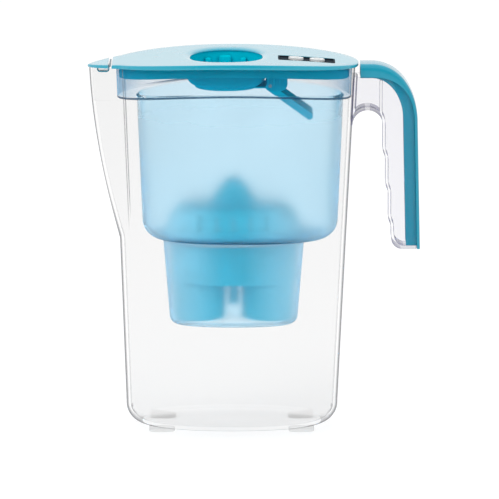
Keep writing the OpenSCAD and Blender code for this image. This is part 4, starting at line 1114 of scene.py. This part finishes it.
class PITCHER_OT_lid(bpy.types.Operator):
    """Makes the lid: arched shell, fill bowl and skirt with its cheeks, and dresses the fill flap"""

    bl_idname = "pitcher.lid"
    bl_label = "Lid"

    def execute(self, context):
        s, p = sizes(context)
        self.shell(s, p)
        self.bowl(s, p)
        self.frame(s, p)
        # The fill flap's lighter teal is painted light that makes up for the lid's shade
        dress_solid("fill_flap", "Flap teal painted light")
        dress_solid("fill_flap_pin", "Steel wire")
        return {"FINISHED"}

    def shell(self, s, p):
        """Arched top with its soft-edged fill opening, indicator window and hinge knuckles"""
        centre = np.array([p.fill_x, 0.0])
        front = p.spout_pin_x + p.hinge_edge
        fit = CAD_BOX[1][1] / MM / (s.jug_depth / 2 + s.lid_overhang)

        def outline(d, past):
            plan = p.jug_plan(s.jug_height, d - s.lid_overhang) * [1, fit]
            return clip_from(plan + [p.jug_x, 0], past)

        outer = outline(0, front)
        corners = [math.atan2(y, x) % TAU for x, y in (outer - centre) if abs(x + centre[0] - front) < 1e-6]
        angles = np.sort(np.concatenate([np.arange(300) * TAU / 300 + 1e-4, corners]))
        half, deep = s.fill_length / 2, s.fill_depth / 2
        hole = p.oval(half, deep, 360) + centre
        edge = star(outer, centre, angles)
        band = star(outline(s.band_width, front + s.band_width), centre, angles)
        inner = star(hole, centre, angles)
        wide = star(p.oval(half + s.mouth_end, deep + s.mouth_side, 360) + centre, centre, angles)

        def at(plan, height):
            return np.stack([plan[:, 0], plan[:, 1], height], 1)

        soft = 0.6
        shrink = centre + (edge - centre) * (1 - soft / np.linalg.norm(edge - centre, axis=1))[:, None]
        rings = []
        for t in np.linspace(0, math.pi / 2, 13):
            plan = inner + (wide - inner) * (1 - math.cos(t))
            rings.append(at(plan, p.crown(plan[:, 0]) - s.lid_wall * (1 - math.sin(t))))
        for t in np.linspace(0, 1, 13)[1:]:
            plan = wide + (shrink - wide) * t
            rings.append(at(plan, p.crown(plan[:, 0])))
        for t in (30, 60, 90):
            plan = shrink + (edge - shrink) * math.sin(math.radians(t))
            rings.append(at(plan, p.crown(plan[:, 0]) - soft * (1 - math.cos(math.radians(t)))))
        rings.append(at(edge, p.seat(edge[:, 0]) + 0.25))
        plan = shrink + (edge - shrink) * 0.6
        rings.append(at(plan, p.seat(plan[:, 0])))
        rings.append(at(band, p.seat(band[:, 0])))
        rings.append(at(band, p.crown(band[:, 0]) - s.lid_wall))
        for t in (0.25, 0.5, 0.75):
            plan = band + (inner - band) * t
            rings.append(at(plan, p.crown(plan[:, 0]) - s.lid_wall))
        shell = skin("Lid_shell", rings, closed=True, sharp=32)
        window = window_block(s, p, s.seat_gap, 12)
        pin_hole = bar("pin_hole", p.spout_pin_x, p.spout_pin_z, s.spout_pin_d / 2 + s.pin_gap, s.spout_width)
        knuckles = []
        for side in (-1, 1):
            y = side * (s.mid_knuckle + s.side_gap + s.side_knuckle) / 2
            knuckles.append(knuckle(f"knuckle{side}", s, p, s.side_knuckle, 1, y))
        carve(shell, window, sharp=32)
        whole = join("Lid_shell_whole", shell, carve(join("knuckles", *knuckles), pin_hole))
        dress(whole, "Lid plastic", "lid", ["lid_shell"])

    # Place along the bowl, half width, reach from the wall, and depth under the lid's top of each soft rib
    RIBS = ((-13.4, 2.2, 4.5, 6.4), (-1.1, 4.4, 4.0, 5.2), (12.5, 2.2, 4.5, 6.4))

    def bowl(self, s, p):
        """Fill bowl with its flange and its soft ribs"""

        def foot(d):
            r = s.bowl_round - d
            return [lift(p.oval(p.bowl_a - d - r * i, p.bowl_b - d - r * i), p.fill_x, p.bowl_z + d + r * h)
                    for i, h in quarter(12)]

        low = s.lid_wall + s.seat_gap + s.bowl_flange_thickness
        high = s.lid_wall + s.seat_gap
        rings = foot(0)
        for grow, drop in ((0, low), (s.bowl_flange, low), (s.bowl_flange, high), (-s.bowl_wall, high)):
            plan = p.oval(p.bowl_a + grow, p.bowl_b + grow)
            x = p.fill_x + plan[:, 0]
            rings.append(np.stack([x, plan[:, 1], p.crown(x) - drop], 1))
        rings += foot(s.bowl_wall)[::-1]
        bowl = skin("Fill_bowl", rings, closed=True)
        soften(bowl, 0.4, angle=50)
        ribs = []
        for side in (-1, 1):
            for x, half, reach, drop in self.RIBS:
                wall = p.oval_side(x, p.bowl_a - s.bowl_wall, p.bowl_b - s.bowl_wall)
                ribs.append(block("rib", (p.fill_x + x - half, side * (wall - reach), p.bowl_z + s.bowl_round),
                                  (p.fill_x + x + half, side * (wall + 0.9), p.crown(p.fill_x) - drop), 1.6))
        bowl = join("Fill_bowl_ribbed", bowl, *ribs)
        dress(bowl, "Inner teal", "lid", ["fill_bowl"])
        bowl.data.materials.append(finish_of("Recess teal"))
        for face in bowl.data.polygons:
            outwards = face.center - Vector((p.fill_x * MM, 0, face.center.z + face.normal.z * 10 * MM))
            face.material_index = 1 if face.normal.dot(outwards) < 0 else 0

    def frame(self, s, p):
        """Skirt inside the collar, and the two ribbed cheeks that hold the fill flap's pin"""

        def ring(grow, z=None):
            plan = p.oval(p.skirt_a + grow, p.skirt_b + grow) + [p.jug_x, 0]
            sag = (plan[:, 0] - p.jug_x) ** 2 / (2 * s.ledge_radius)
            height = p.crown(plan[:, 0]) - s.lid_wall if z is None else z - sag
            return np.stack([plan[:, 0], plan[:, 1], height], 1)

        low, wall, soft = p.skirt_z, -s.skirt_wall, 0.4
        bit = 0.3 * soft
        outside = [ring(-soft, low), ring(-bit, low + bit), ring(0, low + soft), ring(0)]
        inside = [ring(wall), ring(wall, low + soft), ring(wall + bit, low + bit), ring(wall + soft, low)]
        skirt = skin("Skirt", outside + inside, closed=True)
        cheeks = []
        cheek_y = s.arm_width / 2 + s.side_gap + s.cheek_thickness / 2
        x0, z0 = p.flap_pin_x - p.barrel_r, p.flap_pin_z - p.barrel_r - 1
        for side in (-1, 1):
            turn = np.linspace(0, math.pi / 2, 9)
            outline = [(x0, p.crown(x0) - s.lid_wall), (x0, z0 + 4)]
            outline += [(x0 + 4 - 4 * math.cos(t), z0 + 4 - 4 * math.sin(t)) for t in turn[1:]]
            x1 = x0 + s.cheek_length
            outline += [(x1 - 5 + 5 * math.sin(t), z0 + 5 - 5 * math.cos(t)) for t in turn]
            outline += [(x1, p.crown(x1) - s.lid_wall)]
            plate = prism("cheek", outline, s.cheek_thickness)
            place(plate, Matrix.Translation((0, side * cheek_y * MM, 0)))
            parts = [soften(plate, 0.3, angle=60)]
            for i in range(4):
                x = x0 + s.cheek_length / 2 + (i - 1.5) * 4
                y = side * (cheek_y + s.cheek_thickness / 2)
                parts.append(block("rib", (x - 0.8, y - side * 0.2, z0 + 3),
                                   (x + 0.8, y + side, p.crown(x + 0.8) - s.lid_wall), 0.3))
            for part in parts:
                cutters = [bar("hole", p.flap_pin_x, p.flap_pin_z, s.flap_pin_d / 2 + s.pin_gap, s.jug_depth)]
                if side < 0:
                    cutters.append(window_block(s, p, s.seat_gap, 5.7))
                cheeks.append(carve(part, *cutters))
        whole = join("Lid_frame", skirt, *cheeks)
        dress(whole, "Inner teal", "lid", ["lid_frame"])


def window_block(s, p, grow, deep):
    """Block through the indicator window, grown on every side, reaching deep under the lid's surface"""
    plan = rounded_rectangle(s.window_length + 2 * grow, s.window_depth + 2 * grow, 2 + grow)
    obj = upright("window", plan, -deep, 6)
    where = Matrix.Translation((p.window_x * MM, -s.window_shift * MM, p.crown(p.window_x) * MM))
    return place(obj, where @ Matrix.Rotation(p.window_tilt, 4, "Y"))


def knuckle(name, s, p, length, side, y):
    """Hinge knuckle of the spout flap with its tongue"""
    tongue = p.hinge_edge + 0.2
    tall = s.knuckle_d * 0.4
    tube = bar(name, p.spout_pin_x, p.spout_pin_z, s.knuckle_d / 2, length, y)
    plate = block(name + "tongue", (p.spout_pin_x, y - length / 2, p.spout_pin_z - tall),
                  (p.spout_pin_x + side * tongue, y + length / 2, p.spout_pin_z + tall))
    return join(name + "whole", tube, plate)


class PITCHER_OT_spout_flap(bpy.types.Operator):
    """Makes the small flap over the spout, its hinge and its locating loop"""

    bl_idname = "pitcher.spout_flap"
    bl_label = "Spout flap"

    def execute(self, context):
        s, p = sizes(context)
        past = p.spout_pin_x - p.hinge_edge
        plan = p.jug_plan(s.jug_height, -s.lid_overhang) + [p.jug_x, 0]
        outer = clip_from(plan * [-1, 1], -past) * [-1, 1]
        centre = np.array([p.spout_pin_x - 6.5, 0.0])
        corners = [math.atan2(y, x) % TAU for x, y in outer[np.abs(outer[:, 0] - past) < 1e-6] - centre]
        angles = np.sort(np.concatenate([np.arange(160) * TAU / 160 + 1e-4, corners]))
        edge = star(outer, centre, angles)
        soft = 0.5
        shrink = centre + (edge - centre) * (1 - soft / np.linalg.norm(edge - centre, axis=1))[:, None]

        def at(spread, plan, surface, drop=0.0):
            where = centre + (plan - centre) * spread
            return np.stack([where[:, 0], where[:, 1], surface(where[:, 0]) - drop], 1)

        rings = [at(t, shrink, p.seat) for t in (0.02, 0.5, 0.8)] + [at(1, shrink + (edge - shrink) * 0.5, p.seat)]
        rings += [at(1, edge, p.seat, -0.25)]
        for t in (90, 60, 30):
            plan = shrink + (edge - shrink) * math.sin(math.radians(t))
            rings.append(at(1, plan, p.crown, soft * (1 - math.cos(math.radians(t)))))
        rings += [at(t, shrink, p.crown) for t in (1, 0.75, 0.5, 0.25, 0.02)]
        flap = skin("Spout_flap", rings, sharp=32)
        hinge = knuckle("knuckle", s, p, s.mid_knuckle, -1, 0)
        carve(hinge, bar("pin_hole", p.spout_pin_x, p.spout_pin_z, s.spout_pin_d / 2 + s.pin_gap, s.spout_width))
        whole = join("Spout_flap_whole", flap, hinge, self.loop(s, p))
        dress(whole, "Lid plastic", "spout_flap", ["spout_flap"])
        dress_solid("spout_flap_pin", "Steel wire")
        return {"FINISHED"}

    def loop(self, s, p):
        """U-shaped locating loop under the flap"""
        x = p.spout_pin_x - s.knuckle_d / 4 - s.loop_length / 2
        top = p.seat(x) + 0.6

        def side(inset):
            half, low, r = s.loop_length / 2 - inset, top - s.loop_height + inset, 2.2 - inset
            left = [(x - half + r - r * math.cos(t), low + r - r * math.sin(t))
                    for t in np.linspace(0, math.pi / 2, 9)]
            return [(x - half, top)] + left + [(2 * x - a, b) for a, b in left[::-1]] + [(x + half, top)]

        return soften(prism("Loop", side(0) + side(0.9)[::-1], s.loop_depth), 0.2, angle=60)


class PITCHER_OT_indicator(bpy.types.Operator):
    """Makes the change indicator: dark tray, white date wheels and their pins"""

    bl_idname = "pitcher.indicator"
    bl_label = "Change indicator"

    def execute(self, context):
        dress_solid("indicator_tray", "Dark tray")
        for node in ("wheel_pins", "day_wheel", "month_wheel"):
            dress_solid(node, "White wheel")
        return {"FINISHED"}


class PITCHER_OT_handle(bpy.types.Operator):
    """Makes the clear handle and its teal cover"""

    bl_idname = "pitcher.handle"
    bl_label = "Handle"

    def execute(self, context):
        s, p = sizes(context)
        self.shell(s, p)
        self.cover(s, p)
        return {"FINISHED"}

    def jug_cut(self, s, p, gap):
        """The jug's wall as a sloping block, moved out by gap"""
        z = (p.arch_z + p.handle_top) / 2
        tall = p.handle_top - p.arch_z
        obj = upright("jug_cut", p.jug_plan(z) - [p.half_length(z), 0], -tall, tall)
        where = Matrix.Translation(((p.edge(z) + gap) * MM, 0, z * MM))
        return place(obj, where @ Matrix.Rotation(p.wall_tilt, 4, "Y"))

    def shell(self, s, p):
        """Clear hollow handle with a web in its grip"""
        inner_width = s.handle_width - 2 * s.handle_wall
        shell = soften(prism("Handle_shell", p.grip_outline(0, 0), s.handle_width), 2.4, segments=5, angle=60)
        rib_x, rib_top = p.arch_x + s.arch_radius - s.handle_wall, p.handle_top - s.cover_rim - s.handle_wall
        cavity = prism("cavity", p.grip_outline(s.handle_wall, s.cover_side), inner_width)
        rib = block("rib", (rib_x, -inner_width, p.arch_z), (rib_x + 1.6, inner_width, rib_top))
        carve(cavity, rib, self.jug_cut(s, p, s.seat_gap + s.handle_wall))
        carve(shell, cavity, self.jug_cut(s, p, s.seat_gap), sharp=30)
        dress(shell, "Clear handle", "jug", ["handle_shell"])

    def cover(self, s, p):
        """Outer strip with rounded edges, and the rim that reaches into the handle"""
        outer = p.handle_back(0)
        seam = np.concatenate([[[p.cover_x, p.handle_top - s.cover_side]], p.seam(0)])
        half = s.handle_width / 2
        rings = []
        for (ox, oz), (ix, iz) in zip(outer, seam):
            deep = math.hypot(ox - ix, oz - iz)
            r = min(3.6, 0.92 * deep)
            ring = [(ix, -half, iz)]
            for side in (-1, 1):
                for t in np.linspace(0, math.pi / 2, 7):
                    out, back = (math.cos(t), math.sin(t)) if side < 0 else (math.sin(t), math.cos(t))
                    y, d = side * (half - r + r * out), r - r * back
                    ring.append((ox + (ix - ox) * d / deep, y, oz + (iz - oz) * d / deep))
            ring.append((ix, half, iz))
            rings.append(ring)
        cover = skin("Cover", rings, sharp=50)
        low = p.handle_end + s.handle_wall + s.rest_gap
        wide = s.handle_width - 2 * s.handle_wall - s.side_gap

        def strip(d):
            points = p.handle_back(d)
            a, b = points[-2], points[-1]
            return np.concatenate([points[:-1], [a + (b - a) * (low - a[1]) / (b[1] - a[1])]])

        outline = np.concatenate([strip(s.cover_strip - 0.2), strip(s.cover_rim)[::-1]])
        walls = []
        for side in (-1, 1):
            wall = prism("rim", outline, 1.8)
            place(wall, Matrix.Translation((0, side * (wide / 2 - 0.9) * MM, 0)))
            walls.append(soften(wall, 0.4, angle=60))
        walls.append(block("rim_end", (p.cover_x, -wide / 2 + 1, p.handle_top - s.cover_rim),
                           (p.cover_x + 1.8, wide / 2 - 1, p.handle_top - s.cover_strip)))
        x = p.handle_out - s.cover_strip
        walls.append(block("rim_foot", (x - s.cover_rim + s.cover_strip, -wide / 2 + 1, low),
                           (x + 0.1, wide / 2 - 1, low + 1.8)))
        cover = join("Handle_cover", cover, *walls)
        dress(cover, "Cover plastic", "jug", ["handle_cover"])


class PITCHER_PT_panel(bpy.types.Panel):
    """Lists the pieces, the sizes and the colours of the pitcher"""

    bl_idname = "PITCHER_PT_panel"
    bl_label = "Water filter pitcher"
    bl_space_type = "VIEW_3D"
    bl_region_type = "UI"
    bl_category = "Pitcher"

    def draw(self, context):
        column = self.layout.column(align=True)
        for operator in OPERATORS:
            column.operator(operator.bl_idname)
        for label, settings in (("Sizes", context.scene.pitcher_sizes), ("Colours", context.scene.pitcher_colours)):
            box = self.layout.box()
            box.label(text=label)
            for key in settings.__annotations__:
                box.prop(settings, key)


OPERATORS = (
    PITCHER_OT_stage,
    PITCHER_OT_jug,
    PITCHER_OT_funnel,
    PITCHER_OT_cartridge,
    PITCHER_OT_lid,
    PITCHER_OT_spout_flap,
    PITCHER_OT_indicator,
    PITCHER_OT_handle,
)
CLASSES = (PitcherSizes, PitcherColours, *OPERATORS, PITCHER_PT_panel)


def register():
    for cls in CLASSES:
        bpy.utils.register_class(cls)
    bpy.types.Scene.pitcher_sizes = PointerProperty(type=PitcherSizes)
    bpy.types.Scene.pitcher_colours = PointerProperty(type=PitcherColours)


def unregister():
    del bpy.types.Scene.pitcher_colours
    del bpy.types.Scene.pitcher_sizes
    for cls in reversed(CLASSES):
        bpy.utils.unregister_class(cls)


def main():
    for obj in list(bpy.data.objects):
        if obj.name in ("Cube", "Light", "Camera"):
            bpy.data.objects.remove(obj)
    register()
    bpy.ops.pitcher.stage()
    bpy.ops.pitcher.jug()
    bpy.ops.pitcher.funnel()
    bpy.ops.pitcher.cartridge()
    bpy.ops.pitcher.lid()
    bpy.ops.pitcher.spout_flap()
    bpy.ops.pitcher.indicator()
    bpy.ops.pitcher.handle()


if __name__ == "__main__":
    main()
